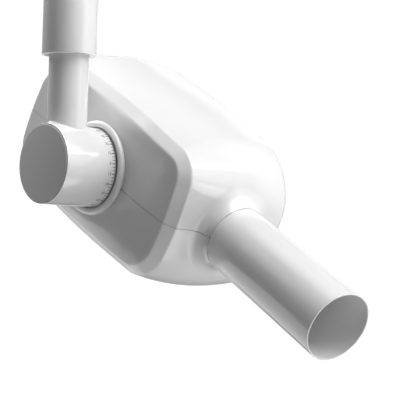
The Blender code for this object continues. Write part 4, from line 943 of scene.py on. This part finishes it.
def dress_nodes(looks):
    """Gives every CAD node the material of its slot in the record."""
    for entry in frame["record"]["subparts"]:
        node = frame["nodes"][entry["node"]]
        for slot in node.material_slots:
            slot.material = looks[entry["material_slot"]]


# ---------------------------------------------------------------- stage, light and camera
def aim(place, target):
    return (target - place).to_track_quat("-Z", "Y").to_euler()


def soft_light(name, azimuth, elevation, width, height, brightness):
    """A soft box aimed at the object; azimuth 0 is straight ahead of it, towards -Y."""
    turn, rise = azimuth * DEG, elevation * DEG
    way = Vector((math.sin(turn) * math.cos(rise), -math.cos(turn) * math.cos(rise), math.sin(rise)))
    lamp = bpy.data.lights.new(name, "AREA")
    lamp.shape = "RECTANGLE"
    lamp.size = width
    lamp.size_y = height
    lamp.energy = math.pi * width * height * brightness
    made = bpy.data.objects.new(name, lamp)
    bpy.context.scene.collection.objects.link(made)
    made.visible_camera = False
    made.location = OBJECT_MIDDLE + way * LIGHT_DISTANCE
    made.rotation_euler = aim(made.location, OBJECT_MIDDLE)


def make_lights():
    for light in SOFT_LIGHTS:
        soft_light(*light)


def make_world():
    """White to the camera, and a dim even fill for everything else."""
    world = bpy.data.worlds.new("studio")
    bpy.context.scene.world = world
    world.use_nodes = True
    nodes, links = world.node_tree.nodes, world.node_tree.links
    fill = nodes["Background"]
    fill.inputs["Color"].default_value = (1, 1, 1, 1)
    fill.inputs["Strength"].default_value = FILL
    shown = nodes.new("ShaderNodeBackground")
    shown.inputs["Color"].default_value = (1, 1, 1, 1)
    shown.inputs["Strength"].default_value = BACKDROP
    path = nodes.new("ShaderNodeLightPath")
    mix = nodes.new("ShaderNodeMixShader")
    links.new(path.outputs["Is Camera Ray"], mix.inputs["Fac"])
    links.new(fill.outputs["Background"], mix.inputs[1])
    links.new(shown.outputs["Background"], mix.inputs[2])
    links.new(mix.outputs["Shader"], nodes["World Output"].inputs["Surface"])


def make_floor():
    """A plain pale floor that glows a little and doesn't light the object."""
    bm = bmesh.new()
    bmesh.ops.create_grid(bm, x_segments=8, y_segments=8, size=FLOOR_HALF)
    mesh = finished(bm, Matrix.Translation((0, 0, FLOOR_HEIGHT)))
    made = bpy.data.objects.new("floor", mesh)
    made.visible_diffuse = False
    made.visible_glossy = False
    bpy.context.scene.collection.objects.link(made)
    pale = Shader("floor_pale", (0.9, 0.9, 0.9), 0.6)
    pale.link(pale.tint(pale.noise(6.0), (0.895, 0.895, 0.895), (0.905, 0.905, 0.905)), "Base Color")
    pale.set("Emission Color", (1, 1, 1, 1))
    pale.set("Emission Strength", FLOOR_GLOW)
    mesh.materials.append(pale.material)


def make_camera():
    """The viewing angle: azimuth and elevation of the view, and a slight roll."""
    a, e = CAMERA_AZIMUTH, CAMERA_ELEVATION
    right = Vector((math.cos(a), math.sin(a), 0))
    back = Vector((math.sin(a) * math.cos(e), -math.cos(a) * math.cos(e), math.sin(e)))
    up = back.cross(right)
    turn = Matrix((right, up, back)).transposed() @ Matrix.Rotation(CAMERA_ROLL, 3, "Z")
    lens = bpy.data.cameras.new("camera")
    lens.sensor_width = CAMERA_SENSOR
    lens.lens = CAMERA_LENS
    lens.clip_end = 100
    made = bpy.data.objects.new("camera", lens)
    bpy.context.scene.collection.objects.link(made)
    made.matrix_world = Matrix.Translation(CAMERA_PLACE) @ turn.to_4x4()
    bpy.context.scene.camera = made


looks = make_materials()
looks["ink"] = scale_ink()
dress_nodes(looks)
make_sleeve(looks)
make_knuckle(looks)
make_cap(looks)
make_collar(looks)
make_scale(looks)
make_casings(looks)
make_casing_screws(looks)
make_cone(looks)
make_liner(looks)
make_floor()
make_world()
make_lights()
make_camera()
bpy.context.scene.view_settings.view_transform = "Standard"
